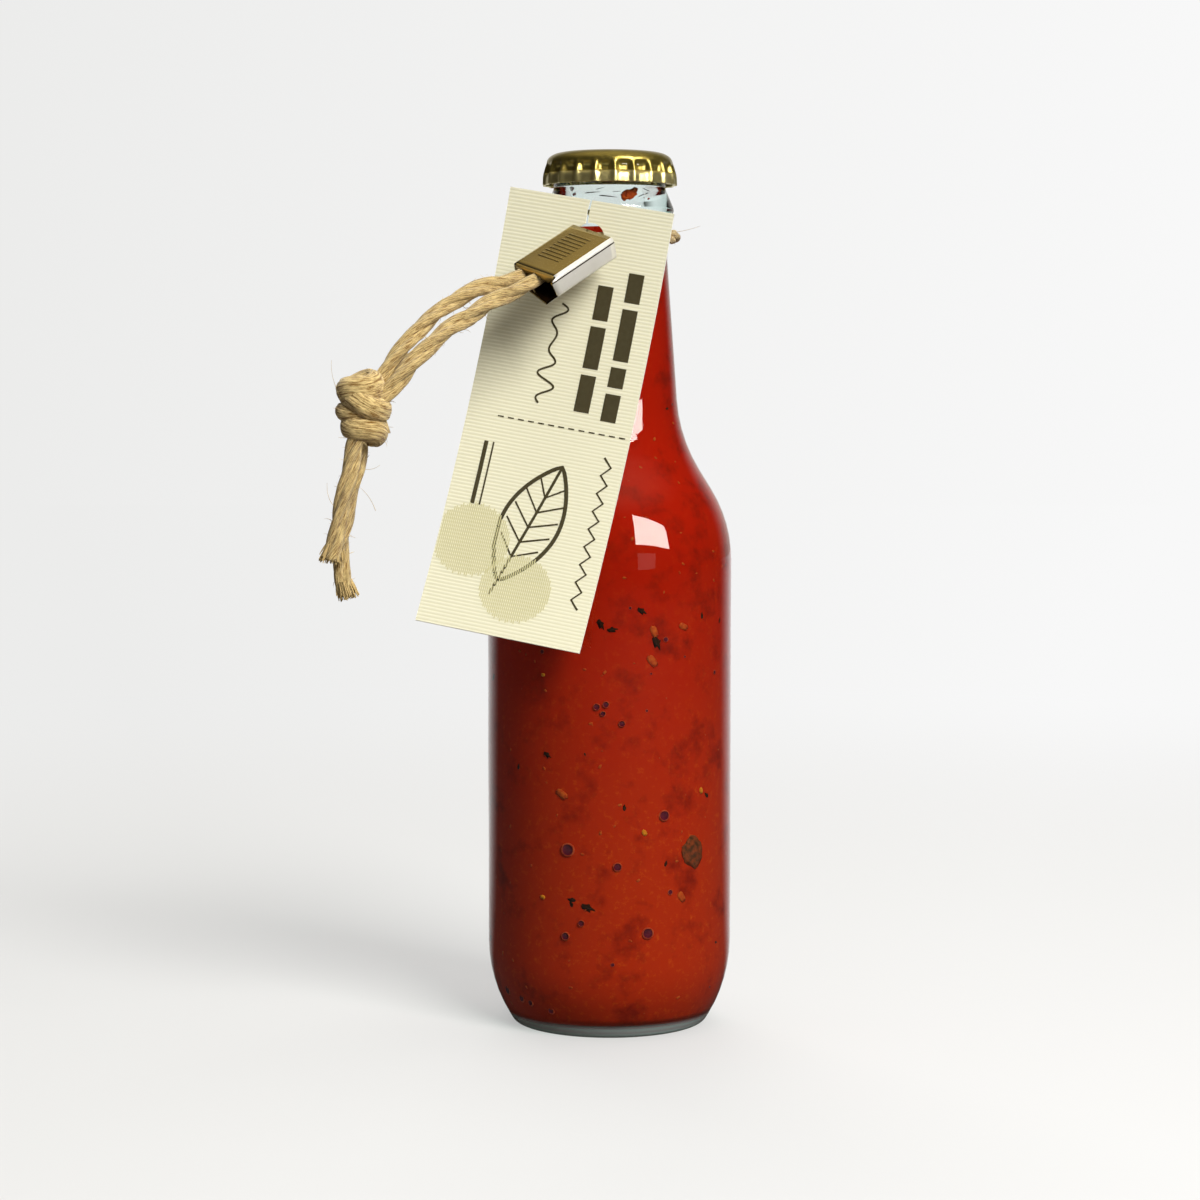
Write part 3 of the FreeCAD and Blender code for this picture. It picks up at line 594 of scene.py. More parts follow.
class SauceSettings(PropertyGroup):
    reach: FloatProperty(name="Reach", description="How far the sauce goes into the wall",
                         default=0.12 * MM, unit="LENGTH")
    low_colour: FloatVectorProperty(name="Lower colour", description="Pulp that has settled",
                                    subtype="COLOR", size=4, default=colour("#A42607"))
    high_colour: FloatVectorProperty(name="Upper colour", description="Oily red sauce",
                                     subtype="COLOR", size=4, default=colour("#9C1402"))
    pulp_colour: FloatVectorProperty(name="Pulp colour", description="Fine pale pulp",
                                     subtype="COLOR", size=4, default=colour("#C85212"))
    clot_colour: FloatVectorProperty(name="Clot colour", description="Thicker dark places",
                                     subtype="COLOR", size=4, default=colour("#6E1004"))
    flecks: IntProperty(name="Flecks", description="Small pale pieces of vegetable",
                        default=260, min=0)
    bubbles: IntProperty(name="Bubbles", description="Bubbles against the glass",
                         default=46, min=0)
    herbs: IntProperty(name="Herbs", description="Dark flakes of herb", default=34, min=0)
    seeds: IntProperty(name="Seeds", description="Pale seeds", default=9, min=0)
    seed: IntProperty(name="Seed", description="Choice of the random places", default=11)


class CapSettings(PropertyGroup):
    ridges: IntProperty(name="Ridges", description="Ridges round the skirt", default=21)
    lacquer: FloatVectorProperty(name="Lacquer", description="Colour of the gold lacquer",
                                 subtype="COLOR", size=4, default=colour("#B4A454"))
    lacquer_deep: FloatVectorProperty(name="Deep lacquer", description="Where it is thick",
                                      subtype="COLOR", size=4, default=colour("#98863E"))
    roughness: FloatProperty(name="Roughness", description="Softness of the reflections",
                             subtype="FACTOR", default=0.33, min=0.0, max=1.0)


class CardSettings(PropertyGroup):
    length: FloatProperty(name="Length", description="Length of the card",
                          default=93.0 * MM, unit="LENGTH")
    width: FloatProperty(name="Width", description="Width of the card",
                         default=35.5 * MM, unit="LENGTH")
    thickness: FloatProperty(name="Thickness", description="Thickness of the card",
                             default=0.5 * MM, unit="LENGTH")
    bow: FloatProperty(name="Bow", description="Radius to which the card is bowed",
                       default=259.5 * MM, unit="LENGTH")
    hole_radius: FloatProperty(name="Hole", description="Radius of the hole",
                               default=3.2 * MM, unit="LENGTH")
    hole_place: FloatProperty(name="Hole place", description="Hole's distance from the top",
                              default=7.8 * MM, unit="LENGTH")
    hole_side: FloatProperty(name="Hole side", description="Hole's distance from the middle",
                             default=0.9 * MM, unit="LENGTH")
    side: FloatProperty(name="Side", description="Angle round the neck, in degrees",
                        default=14.35)
    tilt: FloatProperty(name="Tilt", description="Turn in the card's plane, in degrees",
                        default=10.0)
    lean: FloatProperty(name="Lean", description="Lean at the hole, in degrees", default=1.9)
    rib_pitch: FloatProperty(name="Rib pitch", description="Spacing of the rolled ribs",
                             default=0.76 * MM, unit="LENGTH")
    rib_depth: FloatProperty(name="Rib depth", description="Depth of the rolled ribs",
                             default=0.03 * MM, unit="LENGTH")
    paper: FloatVectorProperty(name="Paper", description="Colour of the card",
                               subtype="COLOR", size=4, default=colour("#E6E3CA"))
    paper_deep: FloatVectorProperty(name="Deep paper", description="Its darker shade",
                                    subtype="COLOR", size=4, default=colour("#E2DFC4"))


class ClipSettings(PropertyGroup):
    length: FloatProperty(name="Length", description="Length of the clip",
                          default=17.0 * MM, unit="LENGTH")
    width: FloatProperty(name="Width", description="Width of the clip",
                         default=12.4 * MM, unit="LENGTH")
    height: FloatProperty(name="Height", description="Height of the clip",
                          default=5.0 * MM, unit="LENGTH")
    sheet: FloatProperty(name="Sheet", description="Thickness of the sheet",
                         default=0.45 * MM, unit="LENGTH")
    fold: FloatProperty(name="Fold", description="Outer rounding of the folds",
                        default=1.1 * MM, unit="LENGTH")
    tongue: FloatProperty(name="Tongue", description="How far the lower plate runs out",
                          default=3.6 * MM, unit="LENGTH")


class CordSettings(PropertyGroup):
    free: FloatProperty(name="Free diameter", description="Cord that hangs free",
                        default=3.5 * MM, unit="LENGTH")
    tight: FloatProperty(name="Tight diameter", description="Cord pulled round the neck",
                         default=2.7 * MM, unit="LENGTH")
    lay: FloatProperty(name="Lay", description="Length of one turn of the yarns",
                       default=30.0 * MM, unit="LENGTH")
    fuzz: IntProperty(name="Fuzz", description="Loose fibres on a free cord", default=240)
    pale: FloatVectorProperty(name="Pale fibre", description="Colour of the pale fibres",
                              subtype="COLOR", size=4, default=colour("#E0C688"))
    dark: FloatVectorProperty(name="Dark fibre", description="Colour of the dark fibres",
                              subtype="COLOR", size=4, default=colour("#7E5A26"))
    seed: IntProperty(name="Seed", description="Choice of the random places", default=5)


class StudioSettings(PropertyGroup):
    backdrop_left: FloatVectorProperty(name="Backdrop left", description="Its darker side",
                                       subtype="COLOR", size=4, default=colour("#ECECEB"))
    backdrop_right: FloatVectorProperty(name="Backdrop right", description="Its paler side",
                                        subtype="COLOR", size=4, default=colour("#F8F8F8"))
    table: FloatVectorProperty(name="Table", description="Colour of the table top",
                               subtype="COLOR", size=4, default=(0.62, 0.62, 0.61, 1.0))
    floor_glow: FloatProperty(name="Floor glow", description="How far the table hides shadows",
                              subtype="FACTOR", default=0.44, min=0.0, max=1.0)
    window_power: FloatProperty(name="Window", description="Power of the window's light",
                                default=24.0, unit="POWER")
    window_glow: FloatProperty(name="Panes", description="Brightness of the mirrored panes",
                               default=18.0)
    overhead_power: FloatProperty(name="Overhead", description="Power of the overhead light",
                                  default=11.0, unit="POWER")
    behind_power: FloatProperty(name="Behind", description="Power of the light from behind",
                                default=10.0, unit="POWER")
    sky: FloatProperty(name="Sky", description="Level of the light from all round",
                       default=0.16)


# ---------------------------------------------------------------- bottle and sauce

class BOTTLE_OT_glass(Operator):
    """Make the glass of the bottle"""
    bl_idname = "bottle.glass"
    bl_label = "Glass"

    def execute(self, context):
        glass = context.scene.bottle_glass
        piece = lathe("glass", split_long(rounded_profile(GLASS_CORNERS), 1.5),
                      glass.segments, flint_glass(glass), self.uneven)
        part_of_object(piece, "glass", "bottle")
        return {"FINISHED"}

    @staticmethod
    def uneven(angle, place):
        """How far the glass lies off its true form here: most inside the mouth, where it is
        blown free, a little in the walls, and not at all in the foot and the finish."""
        radius, height = place
        if radius < 9 and 172.5 < height < 184:
            spot = Vector((math.cos(angle), math.sin(angle), height / 2.2))
            return 0.28 * noise.noise(spot * 1.6)
        if height < 6 or height > 171:
            return 0.0
        spot = Vector((math.cos(angle) * 1.2, math.sin(angle) * 1.2, height / 24))
        return 0.07 * noise.noise(spot)


def sauce_profile():
    """The inside of the bottle, a little into the wall, up to the fill level."""
    reach = bpy.context.scene.bottle_sauce.reach / MM
    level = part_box("sauce")[1][2] / MM
    inner = rounded_profile(GLASS_CORNERS[INNER_FROM - 1:])[::-1]
    line = [Vector((p.x + (reach if p.x > 1 else 0), p.y - (reach if p.y < 5 else 0)))
            for p in inner if p.y < level - 0.6]
    # The top of the sauce: it creeps up the glass a little and dips in the middle.
    top = line[-1].x
    line += [Vector((top - 0.02, level)), Vector((top - 0.8, level - 0.35)),
             Vector((top * 0.5, level - 0.7)), Vector((0, level - 0.8))]
    return split_long(line, 2.5)


def through_glass(x):
    """The angle round the sauce of what shows at x to the side of the bottle's middle."""
    return (math.asin(x / BODY_RADIUS) - math.asin(x / (GLASS_BEND * BODY_RADIUS))
            + math.asin(x / (GLASS_BEND * SAUCE_RADIUS)))


def facing_out(angle, radius, height):
    """A place by its angle round the bottle, and its outward turn."""
    outward = Vector((math.cos(angle), math.sin(angle), 0))
    return outward * radius + Vector((0, 0, height)), outward


def on_sauce(profile, side, height):
    """A place just proud of the sauce by its side as seen from the front, and its turn."""
    radius = SAUCE_RADIUS
    for low, high in zip(profile, profile[1:]):
        if low.y <= height <= high.y and low.x > 5:
            radius = low.x + (high.x - low.x) * (height - low.y) / max(high.y - low.y, 1e-6)
    angle = through_glass(side * BODY_RADIUS / max(radius + WALL, 1)) - math.pi / 2
    return facing_out(angle, radius + 0.02, height)


def in_mouth(side, height):
    """A place inside the bottle's mouth by its side as seen from the front, and its turn."""
    return facing_out(math.asin(side / MOUTH_RADIUS) - math.pi / 2, MOUTH_RADIUS, height)


def pebble(name, material, size, roughness, seed, rings=6, sides=10):
    """An irregular rounded grain, flat towards X, for scattering or placing."""
    points = []
    for i in range(rings + 1):
        polar = math.pi * i / rings
        for j in range(sides):
            turn = 2 * math.pi * j / sides
            spot = Vector((math.cos(polar), math.sin(polar) * math.cos(turn),
                           math.sin(polar) * math.sin(turn)))
            push = 1 + roughness * noise.noise(spot * 1.7 + Vector((seed, 0, 0)))
            points.append([c * s / 2 * push for c, s in zip(spot, size)])
    piece = mesh_piece(name, points, skin_faces(rings + 1, sides), material)
    face_outwards(piece)
    return piece


def bubble_form(name, rings, material, closed):
    """Part of a bubble pressed on the glass, from rings of (distance out, radius)."""
    sides, points, faces = 18, [], []
    for out, radius in rings:
        for j in range(sides):
            turn = 2 * math.pi * j / sides
            points.append((out, radius * math.cos(turn), radius * math.sin(turn)))
    for j in range(sides):
        k = (j + 1) % sides
        for i in range(len(rings) - 1):
            low, high = i * sides, (i + 1) * sides
            faces.append((low + j, high + j, high + k, low + k))
    if closed:
        faces.append(tuple(range(sides)))
    return mesh_piece(name, points, faces, material)


def hollow_form(material):
    """The round middle of a bubble, painted dark as painted shade."""
    return bubble_form("hollow", [(0.12, 0.40), (0.16, 0.66), (0.28, 0.80)], material, True)


def rim_form(material):
    """The rim round a bubble, down to the sauce, painted paler as a painted highlight."""
    return bubble_form("rim", [(0.28, 0.80), (0.32, 0.93), (0.20, 1.0), (-0.1, 1.0)],
                       material, False)


def stand_copies(tree, given, axis, own_turn, smallest, largest, selection=True):
    """Stands copies of the form on a mesh, facing out of it, each with a turn of its own."""
    seed = given.outputs["Seed"]
    spots = add_node(tree, "GeometryNodeDistributePointsOnFaces", {
        "Mesh": given.outputs["Geometry"], "Selection": selection,
        "Density": given.outputs["Per area"], "Seed": seed})
    turn = add_node(tree, "FunctionNodeAlignRotationToVector", {
        "Vector": spots.outputs["Normal"]}, axis=axis)
    both = add_node(tree, "FunctionNodeRotateRotation", {
        "Rotation": turn.outputs[0], "Rotate By": own_turn}, rotation_space="LOCAL")
    scale = add_node(tree, "FunctionNodeRandomValue", {2: smallest, 3: largest, "Seed": seed})
    form = add_node(tree, "GeometryNodeObjectInfo", {"Object": given.outputs["Form"]})
    return add_node(tree, "GeometryNodeInstanceOnPoints", {
        "Points": spots.outputs["Points"], "Instance": form.outputs["Geometry"],
        "Rotation": both.outputs[0], "Scale": scale.outputs[1]}).outputs[0]


def scatter_tree():
    """Puts copies of a form over the side of a mesh, at random turns and sizes."""
    tree, given, result = new_tree("scatter_over", [
        ("Form", "NodeSocketObject"), ("Per area", "NodeSocketFloat"),
        ("Smallest", "NodeSocketFloat"), ("Largest", "NodeSocketFloat"),
        ("Seed", "NodeSocketInt")])
    height = axes(tree, add_node(tree, "GeometryNodeInputPosition").outputs[0])["Z"]
    low = add_node(tree, "FunctionNodeCompare", {0: height, 1: 0.167}, operation="LESS_THAN")
    high = add_node(tree, "FunctionNodeCompare", {0: height, 1: 0.0045},
                    operation="GREATER_THAN")
    side = add_node(tree, "FunctionNodeBooleanMath", {
        0: low.outputs[0], 1: high.outputs[0]}, operation="AND")
    spin = add_node(tree, "FunctionNodeRandomValue", {
        2: 0.0, 3: 2 * math.pi, "Seed": given.outputs["Seed"]})
    about = add_node(tree, "FunctionNodeAxisAngleToRotation", {
        "Axis": (1.0, 0.0, 0.0), "Angle": spin.outputs[1]})
    copies = stand_copies(tree, given, "X", about.outputs[0], given.outputs["Smallest"],
                          given.outputs["Largest"], side.outputs[0])
    return end_tree(tree, given, result, copies)


def scattered(name, base, tree, form, count, **sizes):
    """A piece of many copies of a form over a base; the form itself is removed."""
    area = sum(face.area for face in base.data.polygons)
    piece = bpy.data.objects.new(name, base.data.copy())
    bpy.context.scene.collection.objects.link(piece)
    run_tree(piece, tree, {"Form": form, "Per area": count / area,
                           "Material": form.data.materials[0], **sizes})
    bpy.data.objects.remove(form)
    return piece


def placed(name, form, places, spot):
    """One piece of copies of a form, each at a side, a height, a size and a turn."""
    copies = []
    for side, height, size, spin in places:
        at, outward = spot(side, height)
        copy = form.copy()
        copy.data = form.data.copy()
        bpy.context.scene.collection.objects.link(copy)
        face = outward.to_track_quat("X", "Z").to_matrix().to_4x4()
        move = Matrix.Translation(at * MM) @ face @ Matrix.Rotation(spin, 4, "X")
        copy.data.transform(move @ Matrix.Diagonal((1, size, size, 1)))
        copies.append(copy)
    bpy.data.objects.remove(form)
    part_of_object(join(name, copies), "sauce")


class BOTTLE_OT_sauce(Operator):
    """Make the sauce with its seeds, herbs, bubbles and pieces of vegetable"""
    bl_idname = "bottle.sauce"
    bl_label = "Sauce"

    def execute(self, context):
        sauce = context.scene.bottle_sauce
        profile = sauce_profile()
        body = lathe("sauce_body", profile, context.scene.bottle_glass.segments,
                     vegetable_sauce(sauce))
        part_of_object(body, "sauce", "sauce")

        # A bubble is air against the glass; its dark middle is painted shade and its paler rim
        # a painted highlight.
        dark = food_or_painted_bubble("bubble_hollow", "#40091A", 0.3, 0.002, "#560F20")
        rim = food_or_painted_bubble("bubble_rim", "#8C2812", 0.4, 0.001, "#A64424")
        herb = food_or_painted_bubble("cooked_herb", "#1A0A06", 0.5, 0.0006, "#2E1808")
        pith = food_or_painted_bubble("pale_pulp", "#962C0C", 0.5, 0.0008, "#AA4A18")
        seed_coat = food_or_painted_bubble("seed_coat", "#C87E1E", 0.4, 0.0007, "#A85A10")
        skin = food_or_painted_bubble("aubergine_skin", "#3E2410", 0.4, 0.001, "#7A3418")
        tree = scatter_tree()
        small = [
            # name, form, how many, smallest and largest, its own seed
            ("pulp_flecks", pebble("fleck", pith, (0.5, 1.0, 1.6), 0.5, 3), sauce.flecks,
             0.2, 0.6, 0),
            ("herb_flakes", pebble("flake", herb, (0.3, 1.0, 2.0), 0.9, 8), sauce.herbs,
             0.3, 0.9, 1),
            ("bubble_hollows", hollow_form(dark), sauce.bubbles, 0.25, 0.6, 2),
            ("bubble_rims", rim_form(rim), sauce.bubbles, 0.25, 0.6, 2),
            ("seeds", pebble("seed", seed_coat, (0.5, 1.2, 1.5), 0.2, 5), sauce.seeds,
             0.6, 0.9, 3),
        ]
        for name, form, count, smallest, largest, number in small:
            piece = scattered(name, body, tree, form, count, Smallest=smallest,
                              Largest=largest, Seed=sauce.seed + number)
            part_of_object(piece, "sauce")

        large = {
            # form, then the side as seen from the front, height, size and turn of each
            "large_bubble_hollows": (hollow_form(dark), LARGE_BUBBLES),
            "large_bubble_rims": (rim_form(rim), LARGE_BUBBLES),
            "large_seeds": (pebble("seed", seed_coat, (0.6, 1.1, 1.5), 0.2, 6), [
                (7.2, 44.0, 1.0, 0.5), (19.2, 51.8, 1.0, 0.2), (-14.0, 30.0, 0.9, 1.2)]),
            "large_herbs": (pebble("flake", herb, (0.4, 1.2, 2.4), 0.9, 9), [
                (-1.9, 87.5, 1.0, 0.4), (0.5, 86.4, 0.9, 1.6), (6.6, 90.2, 0.9, 0.9),
                (-4.6, 28.4, 1.2, 1.1), (9.7, 83.6, 1.3, 0.3), (-13.0, 60.0, 0.8, 0.9)]),
            "large_pulp": (pebble("chunk", pith, (0.6, 1.6, 2.4), 0.6, 12), [
                (9.2, 85.9, 1.0, 0.2), (15.3, 86.7, 0.9, 1.0), (8.8, 79.8, 1.1, 0.5),
                (-10.0, 52.0, 1.1, 0.8), (15.0, 30.0, 1.0, 0.4)]),
            "vegetable_skin": (pebble("skin", skin, (0.7, 5.6, 6.6), 0.35, 4, 10, 18), [
                (17.4, 39.0, 1.0, 0.3)]),
        }
        for name, (form, places) in large.items():
            placed(name, form, places, lambda side, height: on_sauce(profile, side, height))

        orange = food_or_painted_bubble("orange_pulp", "#D8581A", 0.4, 0.0008, "#B83C0E")
        red = food_or_painted_bubble("red_pulp", "#8E1208", 0.4, 0.0008, "#A82A10")
        stuck = {
            # what stuck inside the mouth when the bottle was filled, told in the same way
            "pulp_on_glass": (pebble("blob", orange, (0.5, 2.2, 1.6), 0.9, 21, 8, 16), [
                (3.6, 176.2, 1.15, 0.5), (2.7, 175.5, 0.8, 2.1), (4.5, 177.0, 0.6, 1.0)]),
            "red_spots_on_glass": (pebble("spot", red, (0.3, 1.4, 0.8), 0.9, 22), [
                (-6.9, 177.2, 1.1, 0.4), (-6.3, 176.0, 0.6, 1.3), (6.7, 175.0, 0.5, 0.2)]),
            "dark_streaks_on_glass": (pebble("streak", herb, (0.12, 3.2, 0.22), 0.9, 23), [
                (-3.4, 176.4, 0.9, 0.1), (-0.6, 175.6, 1.0, -0.12), (5.9, 175.8, 0.8, 0.35),
                (-1.9, 177.3, 0.5, 0.3), (6.4, 177.1, 0.6, -0.4), (1.2, 176.6, 0.5, 0.1)]),
        }
        for name, (form, places) in stuck.items():
            placed(name, form, places, in_mouth)
        return {"FINISHED"}


# ---------------------------------------------------------------- crown cap

CAP_TOP = 186.0
CAP_SHEET = 0.25
# The cap's section over its ridges: radius, depth below the top, depth of the dents there.
CAP_SECTION = [(0.0, 0.0, 0.0), (9.0, 0.0, 0.0), (10.4, 0.06, 0.0), (11.5, 0.28, 0.0),
               (12.35, 0.66, 0.0), (12.95, 1.15, 0.0), (13.3, 1.7, 0.02), (13.48, 2.3, 0.12),
               (13.66, 2.8, 0.55), (13.82, 3.3, 0.90), (14.02, 4.0, 1.05), (14.14, 4.45, 1.10),
               (14.22, 4.75, 0.70), (14.31, 5.5, 0.52), (14.34, 6.5, 0.48), (14.33, 6.85, 0.46)]


def flute_tree():
    """Presses the dents between a crown cap's ridges, as deep as each ring of it says."""
    tree, given, result = new_tree("crown_flutes", [
        ("Ridges", "NodeSocketInt"), ("Sharpness", "NodeSocketFloat")])
    parts = axes(tree, add_node(tree, "GeometryNodeInputPosition").outputs[0])
    turns = maths(tree, "MULTIPLY", maths(tree, "ARCTAN2", parts["Y"], parts["X"]),
                  given.outputs["Ridges"])
    half = maths(tree, "MULTIPLY_ADD", maths(tree, "COSINE", turns), 0.5, 0.5)
    ridge = maths(tree, "POWER", half, given.outputs["Sharpness"])
    depth = add_node(tree, "GeometryNodeInputNamedAttribute", {"Name": "dent"},
                     data_type="FLOAT").outputs["Attribute"]
    inward = maths(tree, "MULTIPLY", maths(tree, "SUBTRACT", 1.0, ridge), depth)
    flat = add_node(tree, "ShaderNodeCombineXYZ", {0: parts["X"], 1: parts["Y"]})
    out = add_node(tree, "ShaderNodeVectorMath", {0: flat.outputs[0]}, operation="NORMALIZE")
    move = add_node(tree, "ShaderNodeVectorMath", {
        0: out.outputs[0], "Scale": maths(tree, "MULTIPLY", inward, -1.0)},
        operation="SCALE")
    moved = add_node(tree, "GeometryNodeSetPosition", {
        "Geometry": given.outputs["Geometry"], "Offset": move.outputs[0]})
    return end_tree(tree, given, result, moved.outputs[0])


class BOTTLE_OT_cap(Operator):
    """Make the crown cap and finish its liner"""
    bl_idname = "bottle.cap"
    bl_label = "Crown cap"

    def execute(self, context):
        cap = context.scene.bottle_cap
        outer = [Vector((r, CAP_TOP - d, dent)) for r, d, dent in CAP_SECTION]
        inner = [Vector((max(r - CAP_SHEET, 0),
                         CAP_TOP - max(d, CAP_SHEET) - 0.02 * (r < 12), dent))
                 for r, d, dent in CAP_SECTION[:-1]]
        curl = [Vector((14.22, CAP_TOP - 6.95, 0.6)), Vector((14.1, CAP_TOP - 6.9, 0.6))]
        rings = self.divided(outer) + curl + self.divided(inner)[::-1]
        segments = cap.ridges * 16
        material = gold_lacquer(cap)
        piece = lathe("crown_cap_shell", rings, segments, material)
        dents = piece.data.attributes.new("dent", "FLOAT", "POINT")
        for vertex, value in zip(piece.data.vertices, dents.data):
            radius = math.hypot(vertex.co.x, vertex.co.y) / MM
            value.value = MM * self.nearest(rings, radius, vertex.co.z / MM)
        run_tree(piece, flute_tree(), {
            "Ridges": cap.ridges, "Sharpness": 3.4, "Material": material})
        part_of_object(piece, "lacquered_steel", "crown_cap")
        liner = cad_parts["cap_liner"]
        liner.data.materials.clear()
        liner.data.materials.append(liner_compound())
        return {"FINISHED"}

    @staticmethod
    def divided(section, parts=3):
        """The section as a smooth line through its rings, with more of them."""
        out = []
        for i in range(len(section) - 1):
            a = section[max(i - 1, 0)]
            b, c = section[i], section[i + 1]
            d = section[min(i + 2, len(section) - 1)]
            for k in range(parts):
                t = k / parts
                out.append(0.5 * ((2 * b) + (c - a) * t + (2 * a - 5 * b + 4 * c - d) * t * t
                                  + (3 * b - a - 3 * c + d) * t ** 3))
        return out + [section[-1]]

    @staticmethod
    def nearest(rings, radius, height):
        """How deep the dents are on the ring that lies nearest to this place."""
        return min(rings, key=lambda p: abs(p.x - radius) + abs(p.y - height)).z


# ---------------------------------------------------------------- card

def card_ribbon(points, width, closed):
    """A printed line of some width along points on the card: its points and faces."""
    places = []
    for i, here in enumerate(points):
        before, after = neighbours(points, i, closed)
        run = Vector((after[0] - before[0], after[1] - before[1])).normalized()
        side = Vector((-run.y, run.x)) * width / 2
        places.append(card_place(here[0] + side.x, here[1] + side.y, PRINT_LIFT))
        places.append(card_place(here[0] - side.x, here[1] - side.y, PRINT_LIFT))
    return places, skin_faces(len(points), 2, closed=closed, around=False)


def circle(u, v, radius, steps=72):
    """A round outline on the card."""
    turns = [2 * math.pi * i / steps for i in range(steps)]
    return [(u + radius * math.cos(a), v + radius * math.sin(a)) for a in turns]


def straight(start, end, step=1.5):
    """A straight line on the card, with its points at most a step apart."""
    count = max(1, math.ceil(math.dist(start, end) / step))
    return [(start[0] + (end[0] - start[0]) * i / count,
             start[1] + (end[1] - start[1]) * i / count) for i in range(count + 1)]


def printed(name, material, ribbons):
    """One printed piece from many ribbons, each (points, width, closed)."""
    points, faces = [], []
    for line, width, closed in ribbons:
        places, quads = card_ribbon(line, width, closed)
        faces += [tuple(i + len(points) for i in quad) for quad in quads]
        points += places
    piece = mesh_piece(name, points, faces, material)
    front = card_frame().to_3x3() @ Vector((-1, 0, 0))
    if piece.data.polygons[0].normal.dot(front) < 0:
        piece.data.flip_normals()
    part_of_object(piece, "card")


def leaf(u, v, half_length, half_width, lean):
    """A plain leaf in line: its outline, its rib and its veins, as ribbons."""
    c, s = math.cos(lean), math.sin(lean)

    def turned(x, y):
        return u + x * c - y * s, v + x * s + y * c

    def edge(share, side):
        return side * half_width * math.sin(math.pi * share) ** 0.8

    shares = [i / 32 for i in range(33)]
    out = [turned(edge(t, 1), half_length * (2 * t - 1)) for t in shares]
    back = [turned(edge(t, -1), half_length * (2 * t - 1)) for t in shares[-2:0:-1]]
    ribbons = [(out + back, 0.85, True),
               (straight(turned(0, -half_length), turned(0, half_length * 1.25)), 0.6, False)]
    for i in range(1, 6):
        share = 0.14 + 0.13 * i
        foot = half_length * (2 * share - 1)
        for side in (1, -1):
            tip = turned(edge(share - 0.10, side) * 0.86, foot - half_length * 0.26)
            ribbons.append((straight(turned(0, foot), tip), 0.35, False))
    return ribbons


def dark_print():
    """Plain bars, rules, a leaf and a wavy line, in the card's dark ink."""
    ribbons = []
    # Two columns of broad bars, each with where its bars start and end.
    for u, runs in ((6.3, ((17.0, 24.2), (25.6, 34.4), (35.8, 43.6))),
                    (12.3, ((13.5, 19.6), (21.0, 31.8), (33.2, 37.4), (38.8, 44.6)))):
        ribbons += [(straight((u, top), (u, foot)), 3.3, False) for top, foot in runs]
    wavy = [(-2.6 + 2.1 * math.sin(v * 1.15) * (0.6 + 0.4 * math.sin(v * 0.37)), v)
            for v in [22 + 0.25 * i for i in range(86)]]
    ribbons.append((wavy, 0.42, False))
    for start in [(-11 + 2.2 * i) for i in range(13)]:
        ribbons.append((straight((start, 47.4), (start + 1.3, 47.4)), 0.28, False))
    ribbons += leaf(1.0, 68.5, 13.5, 6.2, 0.30)
    zigzag = [(14.2 + (0.9 if i % 2 else -0.9), 52.0 + 1.9 * i) for i in range(18)]
    ribbons.append((zigzag, 0.45, False))
    for u, width in ((-12.2, 0.9), (-10.6, 0.35)):
        ribbons.append((straight((u, 53.0), (u, 66.5)), width, False))
    return ribbons


def pale_print():
    """Two soft rounds of fine hatching under the dark print, at the card's lower left."""
    ribbons, pitch = [], 0.42
    for u, v, half in ((-10.5, 74.0, 8.2), (1.2, 82.5, 7.6)):
        for i in range(int(2 * half / pitch)):
            x = -half + pitch * (i + 0.5)
            reach = math.sqrt(max(half * half - x * x, 0)) * (0.93 + 0.05 * math.sin(i * 1.9))
            top, foot = max(v - reach, 0.5), min(v + reach, 92.3)
            if abs(u + x) < 17.4:
                ribbons.append((straight((u + x, top), (u + x, foot), 3.0), 0.24, False))
    return ribbons


